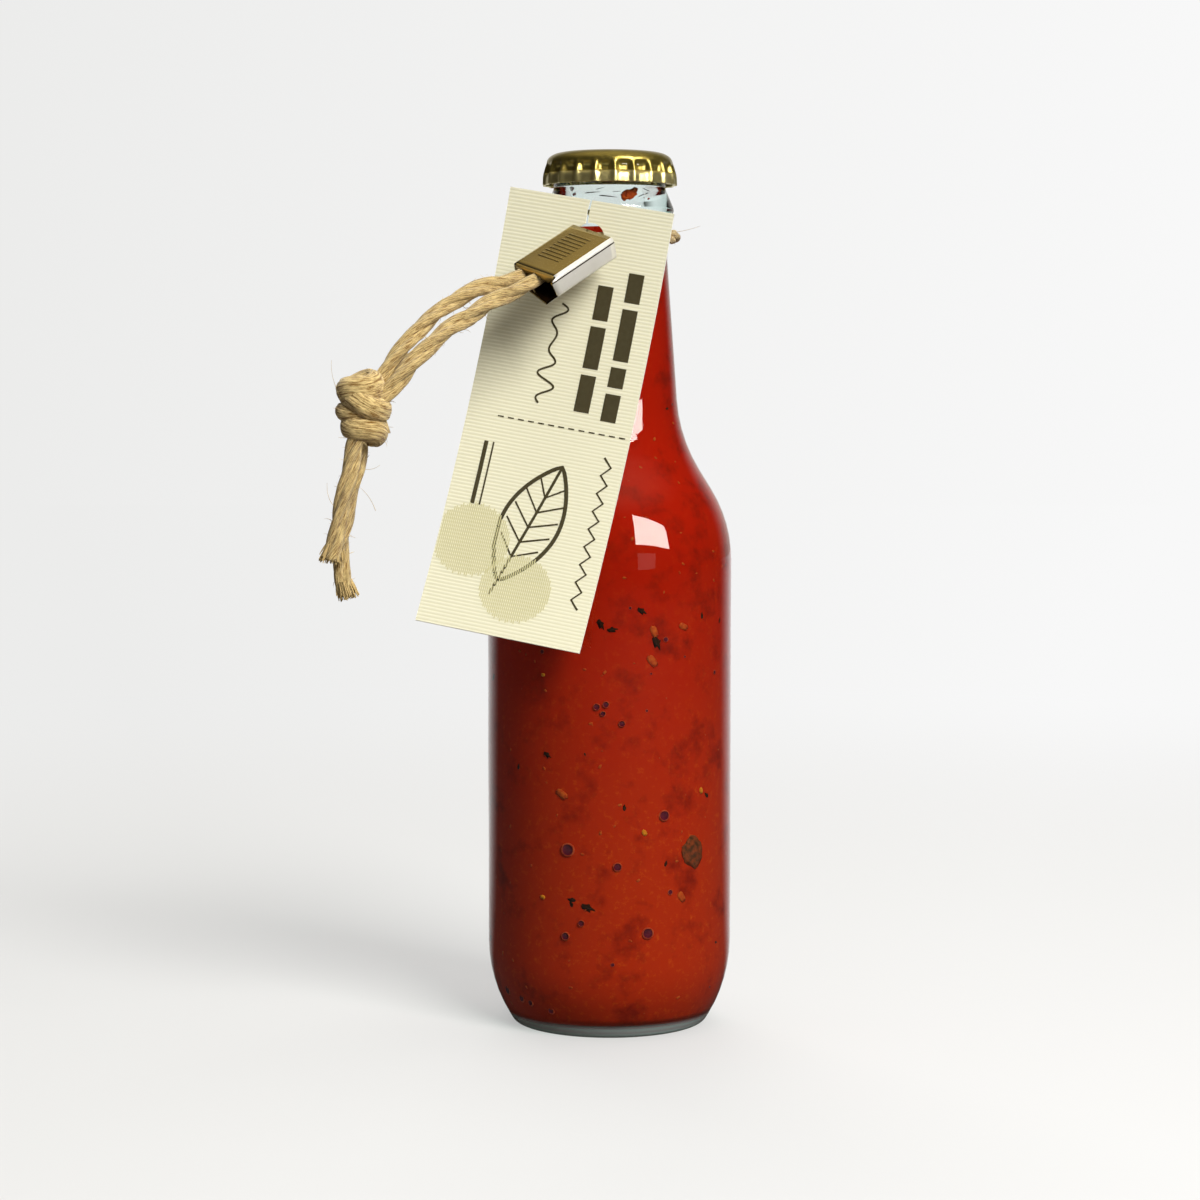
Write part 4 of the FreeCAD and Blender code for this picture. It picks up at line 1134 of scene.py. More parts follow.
class BOTTLE_OT_card(Operator):
    """Make the hang tag: a ribbed card with a hole, a slit and a plain printed pattern"""
    bl_idname = "bottle.card"
    bl_label = "Hang tag"

    def execute(self, context):
        card = context.scene.bottle_card
        length, width = card.length / MM, card.width / MM
        thick, pitch = card.thickness / MM, card.rib_pitch / MM
        rows, columns = int(length / pitch * 5), 14
        points, flat = [], []
        for back in (False, True):
            for i in range(rows + 1):
                v = length * i / rows
                rib = -0.5 * card.rib_depth / MM * (1 - math.sin(2 * math.pi * v / pitch))
                for j in range(columns + 1):
                    u = width * (j / columns - 0.5)
                    points.append(card_place(u, v, -thick - rib if back else rib))
                    flat.append((u, v))
        piece = mesh_piece("card", points, self.sheet_faces(rows, columns),
                           ribbed_card(card), smooth=False)
        layer = piece.data.uv_layers.new(name="card")
        for loop in piece.data.loops:
            layer.data[loop.index].uv = flat[loop.vertex_index]
        face_outwards(piece)
        self.punch(piece, card)
        piece.data.materials.append(soft_shade("card_core", "#F4F2E4", "#FBFAF2", 0.002, 0.8))
        front = card_frame().to_3x3() @ Vector((1, 0, 0))
        for face in piece.data.polygons:
            if abs(face.normal.dot(front)) < 0.5:
                face.material_index = 1
            face.use_smooth = False
        part_of_object(piece, "card", "hang_tag")
        ink = soft_shade("olive_ink", "#3A3420", "#4A4430", 0.0008, 0.6)
        tint = soft_shade("khaki_tint", "#C6C08E", "#D2CCA0", 0.002, 0.75)
        printed("card_print", ink, dark_print())
        printed("card_hatching", tint, pale_print())
        return {"FINISHED"}

    @staticmethod
    def sheet_faces(rows, columns):
        """The front, the back and the four edges of a sheet of points, front points first."""
        faces, start = [], (rows + 1) * (columns + 1)

        def at(i, j, back):
            return back * start + i * (columns + 1) + j

        for i in range(rows):
            for j in range(columns):
                quad = (at(i, j, 0), at(i, j + 1, 0), at(i + 1, j + 1, 0), at(i + 1, j, 0))
                faces += [quad, tuple(k + start for k in reversed(quad))]
            faces += [(at(i, j, 0), at(i + 1, j, 0), at(i + 1, j, 1), at(i, j, 1))
                      for j in (0, columns)]
        return faces + [(at(i, j, 0), at(i, j + 1, 0), at(i, j + 1, 1), at(i, j, 1))
                        for j in range(columns) for i in (0, rows)]

    @staticmethod
    def punch(piece, card):
        """Cuts the hole and the slit that runs from it to the top edge."""
        u, v = card.hole_side / MM, card.hole_place / MM
        slit = [(u - 0.70, -1.0), (u - 1.15, -1.0), (u - 1.45, 2.4), (u - 1.35, 5.4),
                (u - 0.85, 5.4), (u - 0.98, 2.4)]
        for shape in (circle(u, v, card.hole_radius / MM), slit):
            points = [card_place(*place, lift) for lift in (2.0, -2.5) for place in shape]
            count = len(shape)
            faces = [tuple(range(count)), tuple(range(2 * count - 1, count - 1, -1))]
            cutter = mesh_piece("cutter", points, faces + skin_faces(2, count), smooth=False)
            face_outwards(cutter)
            cut = piece.modifiers.new("cut", "BOOLEAN")
            cut.object, cut.operation, cut.solver = cutter, "DIFFERENCE", "EXACT"
            settle(piece)
            bpy.data.objects.remove(cutter)


# ---------------------------------------------------------------- clip

def ribs_tree():
    """Repeats a raised rib along X at a pitch."""
    tree, given, result = new_tree("raised_ribs", [
        ("Count", "NodeSocketInt"), ("Step", "NodeSocketVector")])
    line = add_node(tree, "GeometryNodeMeshLine", {
        "Count": given.outputs["Count"], "Offset": given.outputs["Step"]}, mode="OFFSET")
    copies = add_node(tree, "GeometryNodeInstanceOnPoints", {
        "Points": line.outputs[0], "Instance": given.outputs["Geometry"]})
    return end_tree(tree, given, result, copies.outputs[0])


def rounded_section(half_width, half_height, radius, steps=6):
    """A rounded rectangle across the clip, from the top's middle round past +Y."""
    out = []
    for sy, sz, start in ((1, 1, 90), (1, -1, 0), (-1, -1, -90), (-1, 1, -180)):
        for i in range(steps + 1):
            angle = math.radians(start - 90 * i / steps)
            out.append((sy * (half_width - radius) + radius * math.cos(angle),
                        sz * (half_height - radius) + radius * math.sin(angle)))
    return out


class BOTTLE_OT_clip(Operator):
    """Make the folded sheet-metal clip"""
    bl_idname = "bottle.clip"
    bl_label = "Clip"

    def execute(self, context):
        clip = context.scene.bottle_clip
        half_y, half_z = clip.width / MM / 2, clip.height / MM / 2
        sheet, fold = clip.sheet / MM, clip.fold / MM
        outer = rounded_section(half_y, half_z, fold)
        inner = rounded_section(half_y - sheet, half_z - sheet, max(fold - sheet, 0.15))
        where = clip_frame()
        stations, count = 12, len(outer)
        points = [where @ Vector((self.mouth(y, z, clip) * i / stations, y, z))
                  for line in (outer, inner) for i in range(stations + 1) for y, z in line]
        second = (stations + 1) * count        # the first point of the inner skin
        faces = skin_faces(stations + 1, count) + skin_faces(stations + 1, count, second)
        for ring in (0, stations * count):
            for j in range(count):
                a, b = ring + j, ring + (j + 1) % count
                faces.append((a, b, second + b, second + a))
        # One sheet of metal in lit and shaded copies: the top and bottom plates and the ribs
        # get a darker bronze copy as painted shade, the sides a pale copy as painted light, and
        # the inside a dark copy as painted shade.
        plate_painted_shade = plated_steel("bronze_plate", "#B09858", "#C2AC6E", 0.18, 0.92)
        pale_painted_light = plated_steel("worn_nickel", "#F0EEE6", "#E0DCD0", 0.25, 0.35)
        shade = plated_steel("dark_bronze", "#2A1C10", "#3C2A18", 0.4)
        piece = mesh_piece("clip_sleeve", points, faces, plate_painted_shade)
        piece.data.materials.append(pale_painted_light)
        piece.data.materials.append(shade)
        face_outwards(piece)
        up, across = where.to_3x3() @ Vector((0, 0, 1)), where.to_3x3() @ Vector((0, 1, 0))
        back = where.inverted()
        for face in piece.data.polygons:
            middle = back @ (face.center / MM)
            lift, side = face.normal.dot(up), face.normal.dot(across)
            inside = (abs(middle.y) < half_y - 0.8 * sheet
                      and abs(middle.z) < half_z - 0.8 * sheet)
            # Painted shade inside the sleeve and in a thin row at the foot of the upper fold on
            # the +Y side; painted light on both sides, the steeper parts of their folds and the
            # rest of the upper fold at +Y.
            if inside or (side > 0.9 and 0.05 < lift < 0.25):
                face.material_index = 2
            elif abs(side) > 0.55 or (side > 0.2 and lift > 0):
                face.material_index = 1
        brass = plated_steel("bright_brass", "#C8A654", "#DCBC70", 0.25, 0.6)
        piece = join("clip_sleeve", [piece, self.lip(clip, where, brass),
                                     self.ribs(clip, where, plate_painted_shade)])
        part_of_object(piece, "clip_metal", "clip")
        return {"FINISHED"}

    @staticmethod
    def mouth(y, z, clip):
        """How far the sheet runs at this place round the clip."""
        length, tongue, sheet = clip.length / MM, clip.tongue / MM, clip.sheet / MM
        half_y, half_z = clip.width / MM / 2, clip.height / MM / 2
        if z < -half_z + sheet * 1.2:
            return length + tongue * (y + half_y) / (2 * half_y)
        if y > half_y - sheet * 1.2 and z < half_z - sheet:
            drop = (half_z - z) / (2 * half_z)
            return length + 2.0 * (1 - abs(drop - 0.4) / 0.6)
        return length

    @staticmethod
    def lip(clip, where, material):
        """The upper plate's edge, turned down at the mouth, with a rounded tab."""
        length, half_y, top = clip.length / MM, clip.width / MM / 2, clip.height / MM / 2
        points, faces, columns, margin = [], [], 24, 0.9
        for i in range(columns + 1):
            y = -half_y + margin + (2 * half_y - 2 * margin) * i / columns
            tab = math.exp(-((y - 3.2) / 1.3) ** 4)
            hang = 0.75 + 0.75 * tab
            section = [(-0.5, 0.02), (0.12, 0.1), (0.3, 0.45), (0.28, 0.45 + hang),
                       (0.02, 0.45 + hang), (-0.05, 0.5), (-0.5, 0.4)]
            points += [where @ Vector((length + out, y, top - down)) for out, down in section]
        count = len(section)
        for i in range(columns):
            for k in range(count):
                m = (k + 1) % count
                faces.append((count * i + k, count * (i + 1) + k, count * (i + 1) + m,
                              count * i + m))
        faces.append(tuple(range(count)))
        faces.append(tuple(count * columns + k for k in range(count - 1, -1, -1)))
        piece = mesh_piece("clip_lip", points, faces, material)
        face_outwards(piece)
        return piece

    @staticmethod
    def ribs(clip, where, material):
        """Short raised ribs pressed in the upper plate."""
        top, first = clip.height / MM / 2, 3.2
        profile = [(-0.30, -0.05), (-0.17, 0.14), (0.0, 0.2), (0.17, 0.14), (0.30, -0.05)]
        points = [(first + x, y, top + z * scale)
                  for y, scale in ((-3.5, 0.3), (-3.2, 1.0), (2.3, 1.0), (2.6, 0.3))
                  for x, z in profile]
        piece = mesh_piece("clip_ribs", points, skin_faces(4, len(profile), around=False),
                           material)
        face_outwards(piece)
        run_tree(piece, ribs_tree(), {"Count": 9, "Step": (1.15 * MM, 0.0, 0.0),
                                      "Material": material})
        turn = where.copy()
        turn.translation *= MM
        piece.data.transform(turn)
        return piece


# ---------------------------------------------------------------- cord

def smooth_line(points, closed=False):
    """The points of a smooth curve that is led by these, as Blender draws it."""
    curve = bpy.data.curves.new("line", "CURVE")
    curve.dimensions, curve.resolution_u = "3D", 12
    spline = curve.splines.new("NURBS")
    spline.points.add(len(points) - 1)
    for point, place in zip(spline.points, points):
        point.co = (*(Vector(place) * MM), 1.0)
    spline.order_u = 3
    spline.use_cyclic_u, spline.use_endpoint_u = closed, not closed
    holder = bpy.data.objects.new("line", curve)
    bpy.context.scene.collection.objects.link(holder)
    seen = holder.evaluated_get(bpy.context.evaluated_depsgraph_get())
    mesh = bpy.data.meshes.new_from_object(seen)
    line = [v.co / MM for v in mesh.vertices]
    bpy.data.objects.remove(holder)
    return line


def evenly(line, step, closed=False):
    """The same line with its points a step apart."""
    if closed:
        line = line + [line[0]]
    lengths = [0.0]
    for a, b in zip(line, line[1:]):
        lengths.append(lengths[-1] + (b - a).length)
    count = max(2, round(lengths[-1] / step))
    out, k = [], 0
    for i in range(count + (0 if closed else 1)):
        want = lengths[-1] * i / count
        while k < len(lengths) - 2 and lengths[k + 1] < want:
            k += 1
        share = (want - lengths[k]) / max(lengths[k + 1] - lengths[k], 1e-9)
        out.append(line[k].lerp(line[k + 1], min(share, 1)))
    return out


def carried_frames(line):
    """Along a line: its direction and a side that turns with it as little as it can."""
    runs = []
    for i in range(len(line)):
        before, after = neighbours(line, i)
        runs.append((after - before).normalized())
    side = runs[0].orthogonal().normalized()
    frames = []
    for run in runs:
        side = (side - run * side.dot(run)).normalized()
        frames.append((run, side, run.cross(side)))
    return frames


def wound_mesh(name, strings, sides):
    """A mesh of closed tubes; a string is its rings' points, whether it is a loop, a phase."""
    points, faces, flat = [], [], []
    for rings, closed, phase in strings:
        start, count = len(points), len(rings)
        run = 0.0
        for i, ring in enumerate(rings):
            if i:
                run += (ring[0] - rings[i - 1][0]).length
            points += ring
            flat += [(k / sides * YARN_TURN + phase, run) for k in range(sides)]
        faces += skin_faces(count, sides, start, closed)
        if not closed:
            faces.append(tuple(start + k for k in range(sides - 1, -1, -1)))
            faces.append(tuple(start + (count - 1) * sides + k for k in range(sides)))
    piece = mesh_piece(name, points, faces, jute())
    layer = piece.data.uv_layers.new(name="yarn")
    for face in piece.data.polygons:
        values = [flat[piece.data.loops[i].vertex_index] for i in face.loop_indices]
        low = min(v[0] for v in values)
        across = max(v[0] for v in values) - low > YARN_TURN / 2
        for i, (u, v) in zip(face.loop_indices, values):
            more = YARN_TURN if across and u < low + YARN_TURN / 2 else 0.0
            layer.data[i].uv = (u + more, v)
    face_outwards(piece)
    return piece


def fibre_ring(middle, side, up, radii, lean, seed, along, sides, depth):
    """One ring of a yarn: an oval whose edge is grooved by the fibres that lie along it."""
    ring = []
    c, s = math.cos(lean), math.sin(lean)
    for k in range(sides):
        turn = 2 * math.pi * k / sides
        groove = noise.noise(Vector((math.cos(turn) * 4.0 + seed * 3.1,
                                     math.sin(turn) * 4.0, along * 0.035)))
        fine = noise.noise(Vector((k * 2.7 + seed, along * 0.11, seed * 1.7)))
        swell = 1 + depth * groove + 0.4 * depth * fine
        x, y = radii[0] * math.cos(turn) * swell, radii[1] * math.sin(turn) * swell
        ring.append(middle + side * (x * c - y * s) + up * (x * s + y * c))
    return ring


def twisted_cord(name, line, diameter, seed, ends=(1.0, 1.0)):
    """Yarns laid loosely round each other along a line, in one mesh."""
    cord = bpy.context.scene.bottle_cord
    lay = cord.lay / MM * diameter / 3.5
    line = evenly(line, CORD_STEP)
    frames = carried_frames(line)
    count = len(line)
    yarn = diameter * 0.30
    off = diameter / 2 - yarn
    strings = []
    for ply in range(YARNS):
        rings = []
        for i, (here, (_, side, up)) in enumerate(zip(line, frames)):
            angle = 2 * math.pi * (CORD_STEP * i / lay + ply / YARNS) + seed
            loose = 1 + 0.20 * noise.noise(Vector((i * 0.045, ply * 7.3, seed)))
            # The last 6 mm at each end open out or close in.
            near = max(0.0, 1 - min(i, count - 1 - i) * CORD_STEP / 6.0)
            loose *= 1 + (ends[0 if i < count / 2 else 1] - 1) * near
            middle = here + (side * math.cos(angle) + up * math.sin(angle)) * off * loose
            rings.append(fibre_ring(middle, side, up,
                                    (yarn * loose * 1.06, yarn * loose * 0.94), angle,
                                    seed + ply, i * CORD_STEP, 16, 0.22))
        strings.append((rings, False, ply * 5.1 + seed))
    return wound_mesh(name, strings, 16)


def wrap_band(name, line, width, thick, seed):
    """One turn of cord pressed flat in a knot: a band with its fibres running along it."""
    line = evenly(line, CORD_STEP, closed=True)
    middle = sum(line, Vector()) / len(line)
    rings, sides = [], 30
    for i, here in enumerate(line):
        before, after = neighbours(line, i, closed=True)
        run = (after - before).normalized()
        out = here - middle
        out = (out - run * out.dot(run)).normalized()
        swell = 1 + 0.10 * noise.noise(Vector((seed * 2.3, i * CORD_STEP * 0.09, 0)))
        # The grooves have to meet where the turn closes, so they wander there and back.
        along = 8 * math.sin(2 * math.pi * i / len(line))
        rings.append(fibre_ring(here, run.cross(out), out,
                                (width / 2 * swell, thick / 2 * swell), 0.0, seed, along,
                                sides, 0.13))
    return wound_mesh(name, [(rings, True, seed * 1.3)], sides)


def fibre_form():
    """One loose fibre, bent, standing along Z."""
    points = []
    for x, z, radius in ((0, -0.1, 0.045), (0.10, 0.4, 0.04), (0.35, 0.8, 0.03),
                         (0.7, 1.05, 0.012)):
        for k in range(3):
            turn = 2 * math.pi * k / 3
            points.append((x + radius * math.cos(turn), radius * math.sin(turn), z))
    return mesh_piece("fibre", points, skin_faces(4, 3), jute())


def fuzz_tree():
    """Stands loose fibres on a cord, each leaning its own way."""
    tree, given, result = new_tree("cord_fuzz", [
        ("Form", "NodeSocketObject"), ("Per area", "NodeSocketFloat"),
        ("Longest", "NodeSocketFloat"), ("Seed", "NodeSocketInt")])
    lean = add_node(tree, "FunctionNodeRandomValue", {
        0: (-1.1, -1.1, -3.1), 1: (1.1, 1.1, 3.1), "Seed": given.outputs["Seed"]},
        data_type="FLOAT_VECTOR")
    as_turn = add_node(tree, "FunctionNodeEulerToRotation", {0: lean.outputs[0]})
    copies = stand_copies(tree, given, "Z", as_turn.outputs[0], 0.4,
                          given.outputs["Longest"])
    return end_tree(tree, given, result, copies)


def add_fuzz(name, cord, count, longest, seed):
    """The loose fibres of one cord, as a piece of their own."""
    tree = bpy.data.node_groups.get("cord_fuzz") or fuzz_tree()
    piece = scattered(name, cord, tree, fibre_form(), count, Longest=longest, Seed=seed)
    part_of_object(piece, "jute")
    return piece


def stray_fibres(name, lines, thickness):
    """A few long loose fibres, each along its own points."""
    points, faces = [], []
    for line in lines:
        line = evenly(smooth_line([Vector(p) for p in line]), 0.5)
        faces += skin_faces(len(line), 3, len(points))
        for i, (here, (_, side, up)) in enumerate(zip(line, carried_frames(line))):
            radius = thickness / 2 * (1 - 0.6 * i / len(line))
            for k in range(3):
                turn = 2 * math.pi * k / 3
                points.append(here + (side * math.cos(turn) + up * math.sin(turn)) * radius)
    piece = mesh_piece(name, points, faces, jute())
    part_of_object(piece, "jute")
    return piece


def cut_end(name, line, diameter, spread, seed):
    """The brush of fibres at a cord's cut end, splaying a little."""
    rng = random.Random(seed)
    line = evenly(line, 0.5)
    end = line[-1]
    run = (end - line[-7]).normalized()
    side = run.orthogonal().normalized()
    up = run.cross(side)
    lines = []
    for _ in range(120):
        angle, reach = rng.uniform(0, 2 * math.pi), math.sqrt(rng.random()) * diameter / 2
        out = side * math.cos(angle) + up * math.sin(angle)
        root = end - run * 3.0 + out * reach * 0.9
        tip = end + run * rng.uniform(-0.6, 0.9) + out * reach * spread
        middle = root.lerp(tip, 0.5) + out * rng.uniform(-0.15, 0.25)
        lines.append([root, middle, tip])
    return stray_fibres(name, lines, 0.42)


class BOTTLE_OT_cords(Operator):
    """Make the two free cords with their knot, and the tight loop round the neck"""
    bl_idname = "bottle.cords"
    bl_label = "Cords and knot"

    def execute(self, context):
        cord = context.scene.bottle_cord
        knot = self.make_knot()
        fuzz = add_fuzz("knot_fuzz", knot, 110, 1.3, cord.seed + 3)
        part_of_object(knot, "jute", "knot")
        for name, route, nodes, flare, seed in (
                ("upper_cord", UPPER_ROUTE, ("strand_upper", "tail_long"), 1.05, 2),
                ("lower_cord", LOWER_ROUTE, ("strand_lower", "tail_short"), 1.3, 6)):
            line = smooth_line([Vector(p) + Vector((0, 0, LOOP_HEIGHT)) for p in route])
            piece = twisted_cord(name, line, cord.free / MM, seed, ends=(0.85, flare))
            part_of_object(piece, "jute", *nodes)
            hairs = add_fuzz(name + "_fuzz", piece, cord.fuzz, 1.5, cord.seed + seed)
            brush = cut_end(name + "_end", line, cord.free / MM, flare + 0.25, seed)
        self.make_loop(cord.tight / MM)
        stray_fibres("long_fibres", [
            [(13.6, 0.6, 169.3), (16.4, 0.2, 169.6), (19.3, -0.4, 170.6)],
            [(-52.9, -50.5, 134.0), (-55.0, -51.5, 138.5), (-54.6, -51.0, 141.5)],
            [(-46.2, -50.4, 112.0), (-47.4, -50.6, 115.5), (-49.9, -50.6, 117.0)],
            [(-49.5, -50.0, 120.5), (-47.0, -50.4, 119.5), (-45.3, -50.2, 121.0)],
            [(-53.0, -51.8, 112.0), (-55.8, -52.0, 113.5), (-55.6, -51.5, 117.5)]], 0.12)
        return {"FINISHED"}

    @staticmethod
    def make_knot():
        """The knot's wraps: flattened turns of cord, one over the other on a slant."""
        turns = [
            # middle, half sizes, tilts, width, thickness
            ((-0.2, 0.0, 3.9), (3.2, 3.0), (0.10, -0.30, 0.0), 5.6, 3.6),
            ((0.9, -0.9, 0.6), (3.5, 3.0), (-0.10, 0.42, 0.0), 4.6, 3.4),
            ((-0.5, 0.3, -0.6), (3.3, 2.9), (0.05, -0.10, 0.0), 3.6, 3.2),
            ((0.5, -0.4, -4.1), (3.2, 2.8), (-0.05, 0.30, 0.0), 5.0, 3.5),
        ]
        pieces = []
        for number, (middle, halves, tilt, width, thick) in enumerate(turns):
            line = []
            for i in range(12):
                angle = 2 * math.pi * i / 12
                spot = Vector((halves[0] * math.cos(angle), halves[1] * math.sin(angle),
                               0.4 * math.sin(2 * angle + number)))
                spot.rotate(Euler(tilt))
                line.append(KNOT_CENTRE + Vector(middle) + spot)
            smooth = smooth_line(line, closed=True)
            pieces.append(wrap_band(f"wrap_{number}", smooth, width, thick, number + 3))
        core = smooth_line([KNOT_CENTRE + Vector((0.6 * i, 0.2, 5.0 - 3.3 * i))
                            for i in (-0.2, 0.5, 1.5, 2.5, 3.2)])
        pieces.append(twisted_cord("knot_core", core, 7.0, 9))
        return join("knot_wraps", pieces)

    @staticmethod
    def make_loop(diameter):
        """The loop round the neck, through the card's hole and the clip."""
        where, clip = loop_frame(), clip_frame()
        radius = NECK_RADIUS + NECK_GAP + diameter / 2
        aside, out = CORD_AT_HOLE
        # The angle from Y, out to the hole, at which the cord leaves the ring for the hole.
        begin = -(math.atan2(aside, out) + math.acos(radius / math.hypot(aside, out)))
        steps = 40
        angles = [begin - (2 * math.pi + 2 * begin) * i / steps for i in range(steps + 1)]
        line = [clip @ Vector(p) for p in ((17.3, -3.9, 0.15), (8.0, -3.7, 0.22),
                                           (0.0, -3.5, 0.3))]
        line.append(where @ Vector((-aside, out, 0)))
        line += [where @ Vector((radius * math.sin(a), radius * math.cos(a), 0))
                 for a in angles]
        line.append(where @ Vector((aside, out, 0)))
        line += [clip @ Vector(p) for p in ((0.0, -0.55, 0.3), (8.0, -0.2, 0.22),
                                            (17.3, 0.1, 0.15))]
        piece = twisted_cord("neck_cord", smooth_line(line), diameter, 4)
        part_of_object(piece, "jute", "neck_loop")
        add_fuzz("neck_cord_fuzz", piece, 130, 1.2, 31)


# ---------------------------------------------------------------- studio

class BOTTLE_OT_studio(Operator):
    """Set up the floor, the light and the camera"""
    bl_idname = "bottle.studio"
    bl_label = "Studio"

    def execute(self, context):
        studio = context.scene.bottle_studio
        self.camera(context)
        self.world(context, studio)
        self.softbox("window", studio.window_power, (0.58, -0.89, 0.86), 0.6, (0, 0, 0.11))
        self.softbox("overhead", studio.overhead_power, (0.1, 0.15, 1.7), 0.9, (0, 0, 0.1))
        self.softbox("behind", studio.behind_power, (-0.25, 1.25, 0.75), 0.9, (0, 0, 0.1))
        self.floor(studio)
        context.scene.view_settings.view_transform = "Standard"
        return {"FINISHED"}

    @staticmethod
    def camera(context):
        """A longer lens on the front, a little above the middle, looking down 4 degrees."""
        data = bpy.data.cameras.new("camera")
        data.sensor_width, data.lens = 36.0, 86.85
        data.clip_start, data.clip_end = 0.01, 20.0
        camera = bpy.data.objects.new("camera", data)
        camera.location = Vector((-2.03, -620.0, 134.2)) * MM
        camera.rotation_euler = (math.radians(86.0), 0.0, 0.0)
        context.scene.collection.objects.link(camera)
        context.scene.camera = camera

    @staticmethod
    def softbox(name, power, place, size, target):
        """A square lamp that lights the scene; the panes of the window are in the world."""
        data = bpy.data.lights.new(name, "AREA")
        data.size, data.energy, data.color = size, power, (1.0, 0.985, 0.96)
        lamp = bpy.data.objects.new(name, data)
        lamp.location = place
        aim = Vector(target) - Vector(place)
        lamp.rotation_euler = aim.to_track_quat("-Z", "Y").to_euler()
        lamp.visible_glossy = lamp.visible_transmission = False
        bpy.context.scene.collection.objects.link(lamp)

    @staticmethod
    def backdrop_shade(tree, across, studio):
        """The backdrop's colour, with painted shade that makes it a little darker to the left.
        """
        return blended(tree, stretched(tree, across, -0.2, 0.2),
                       tuple(studio.backdrop_left), tuple(studio.backdrop_right))

    @staticmethod
    def pane(tree, parts, low, high):
        """One where a direction lies in a window pane, by its slopes; zero elsewhere."""
        forward = maths(tree, "MULTIPLY", parts["Y"], -1.0)
        inside = maths(tree, "GREATER_THAN", forward, 0.0)
        for axis, least, most in (("X", low[0], high[0]), ("Z", low[1], high[1])):
            slope = maths(tree, "DIVIDE", parts[axis], forward)
            for value, operation in ((least, "GREATER_THAN"), (most, "LESS_THAN")):
                inside = maths(tree, "MULTIPLY", inside,
                               maths(tree, operation, slope, value))
        return inside

    @classmethod
    def world(cls, context, studio):
        """Dim light all round, a dark room with a window in reflections, a white backdrop."""
        world = bpy.data.worlds.new("studio")
        world.use_nodes = True
        tree = world.node_tree
        tree.nodes.clear()
        rays = rays_of(tree)
        parts = axes(tree, add_node(tree, "ShaderNodeTexCoord").outputs["Generated"])

        def by_direction(axis, least, most, before, after):
            share = stretched(tree, parts[axis], least, most, kind="SMOOTHSTEP")
            return blended(tree, share, before, colour(after))

        def glow(shade, strength=1.0):
            return add_node(tree, "ShaderNodeBackground", {
                "Color": shade, "Strength": strength}).outputs[0]

        # Reflections find a dark room, paler towards the backdrop and above.
        room = by_direction("Y", *TO_BACKDROP, colour("#26221E"), "#D2D0CA")
        room = by_direction("Z", 0.60, 0.95, room, "#B4A88E")
        # The window, by its slopes to the right and up, and a dim strip of it below the sill.
        window = cls.pane(tree, parts, (0.47, 0.30), (1.6, 0.92))
        column = cls.pane(tree, parts, (0.50, -0.12), (0.95, 0.16))
        window = maths(tree, "MULTIPLY_ADD", column, 0.035, window)
        panes = glow(colour("#FFF6EC"), maths(tree, "MULTIPLY", window, studio.window_glow))
        reflected = add_node(tree, "ShaderNodeAddShader", {0: glow(room), 1: panes})
        seen = glow(cls.backdrop_shade(tree, parts["X"], studio))
        through = glow(by_direction("Y", 0.25, 0.75, colour("#5C5E5A"), "#F2F2F2"))
        light = mixed(tree, rays["Is Glossy Ray"], glow(WHITE, studio.sky),
                      reflected.outputs[0])
        light = mixed(tree, rays["Is Transmission Ray"], light, through)
        light = mixed(tree, rays["Is Camera Ray"], light, seen)
        add_node(tree, "ShaderNodeOutputWorld", {"Surface": light})
        context.scene.world = world

    @classmethod
    def floor(cls, studio):
        """A pale table top that fades into the backdrop; lamps find it darker than the eye."""
        material, tree = new_material("pale_table")
        place, rays = own_place(tree), rays_of(tree)
        parts = axes(tree, place)
        away = add_node(tree, "ShaderNodeVectorMath", {0: place},
                        operation="LENGTH").outputs["Value"]
        top = add_node(tree, "ShaderNodeBsdfDiffuse", {"Color": tuple(studio.table)})
        # What the eye finds: the lit top, fading with its distance into the backdrop's shade.
        across = maths(tree, "DIVIDE", parts["X"], maths(tree, "ADD", away, 0.35))
        shine = add_node(tree, "ShaderNodeEmission", {
            "Color": cls.backdrop_shade(tree, across, studio)})
        far = stretched(tree, away, 0.16, 0.70, studio.floor_glow, 1.0, "SMOOTHSTEP")
        clear = maths(tree, "MAXIMUM", far,
                      maths(tree, "MULTIPLY", rays["Is Transmission Ray"], 0.8))
        pale = mixed(tree, clear, top.outputs[0], shine.outputs[0])
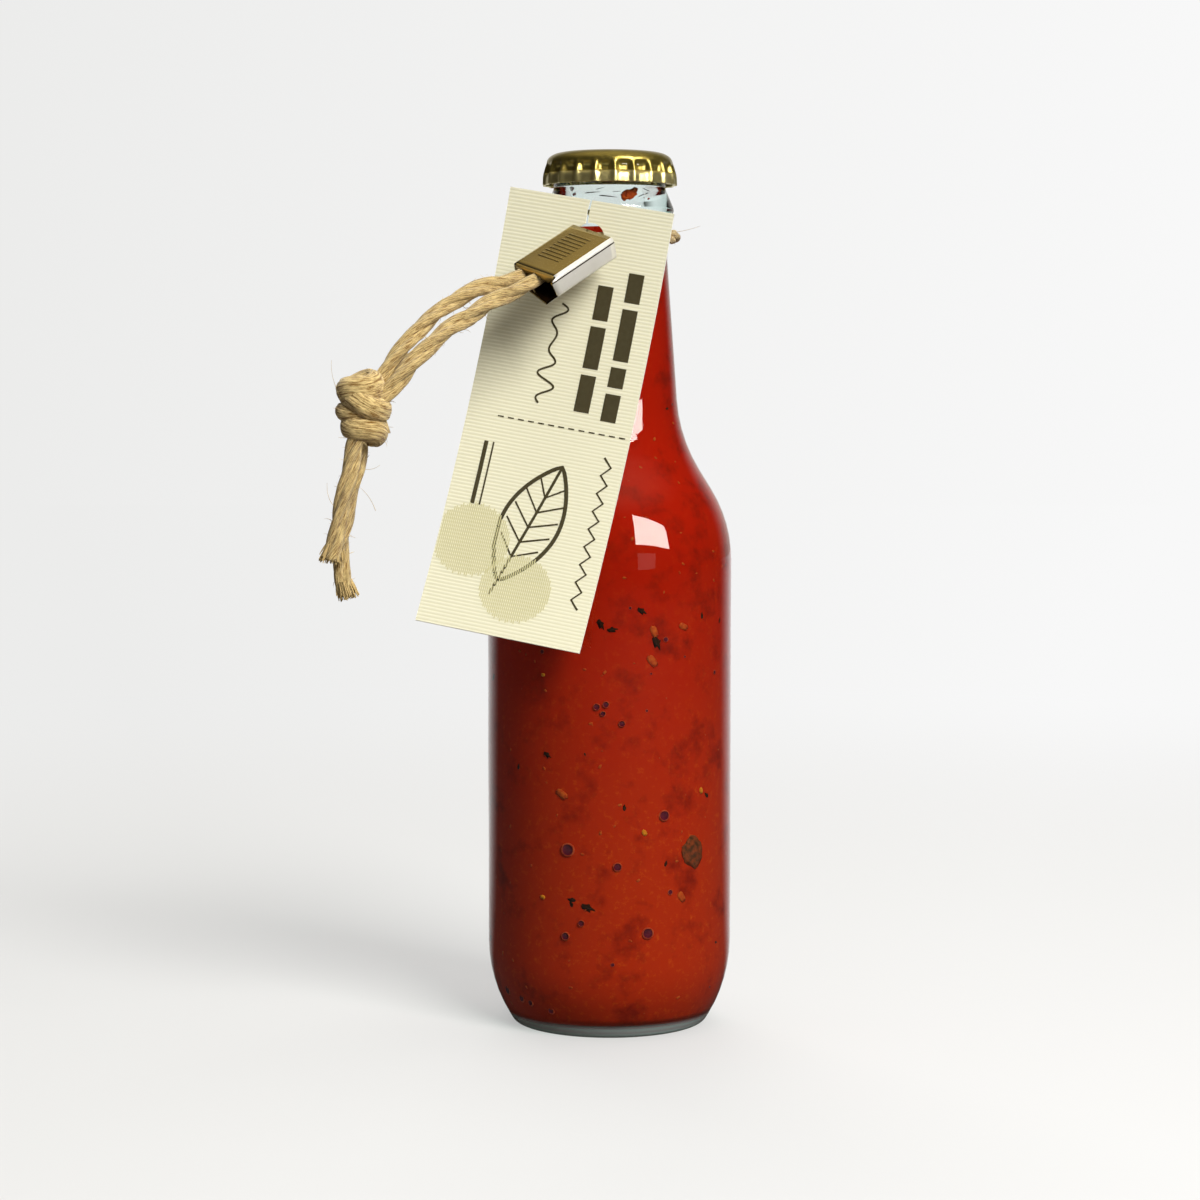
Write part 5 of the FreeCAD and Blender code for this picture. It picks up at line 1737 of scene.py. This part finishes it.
        # What bounced light and reflections find: a dark top, but for its part at the back.
        dim = add_node(tree, "ShaderNodeBsdfDiffuse", {"Color": blended(
            tree, rays["Is Diffuse Ray"], colour("#3A3836"), colour("#7A7672"))})
        behind = stretched(tree, maths(tree, "DIVIDE", parts["Y"], away), *TO_BACKDROP,
                           kind="SMOOTHSTEP")
        mirrored = maths(tree, "MULTIPLY", rays["Is Glossy Ray"], behind)
        direct = maths(tree, "MAXIMUM", rays["Is Camera Ray"], rays["Is Transmission Ray"])
        eye = maths(tree, "MAXIMUM", mirrored, direct)
        finish_material(material, mixed(tree, eye, dim.outputs[0], pale))
        half, height = 3000, -0.02
        corners = [(x, y, height) for x, y in ((-half, -half), (half, -half), (half, half),
                                               (-half, half))]
        floor = mesh_piece("table_top", corners, [(0, 1, 2, 3)], material, smooth=False)


class BOTTLE_PT_panel(Panel):
    """The steps that make the bottle"""
    bl_label = "Sauce bottle"
    bl_idname = "BOTTLE_PT_panel"
    bl_space_type = "VIEW_3D"
    bl_region_type = "UI"
    bl_category = "Bottle"

    def draw(self, context):
        for step in STEPS:
            self.layout.operator(f"bottle.{step}")


STEPS = ("studio", "cords", "glass", "sauce", "cap", "card", "clip")
SETTINGS = {"bottle_glass": GlassSettings, "bottle_sauce": SauceSettings,
            "bottle_cap": CapSettings, "bottle_card": CardSettings,
            "bottle_clip": ClipSettings, "bottle_cord": CordSettings,
            "bottle_studio": StudioSettings}
OPERATORS = (BOTTLE_OT_studio, BOTTLE_OT_cords, BOTTLE_OT_glass, BOTTLE_OT_sauce,
             BOTTLE_OT_cap, BOTTLE_OT_card, BOTTLE_OT_clip, BOTTLE_PT_panel)


def register():
    for kind in (*SETTINGS.values(), *OPERATORS):
        bpy.utils.register_class(kind)
    for name, kind in SETTINGS.items():
        setattr(bpy.types.Scene, name, PointerProperty(type=kind))


def unregister():
    for name in SETTINGS:
        delattr(bpy.types.Scene, name)
    for kind in reversed((*SETTINGS.values(), *OPERATORS)):
        bpy.utils.unregister_class(kind)


def main():
    register()
    for step in STEPS:
        getattr(bpy.ops.bottle, step)()


if __name__ == "__main__":
    main()
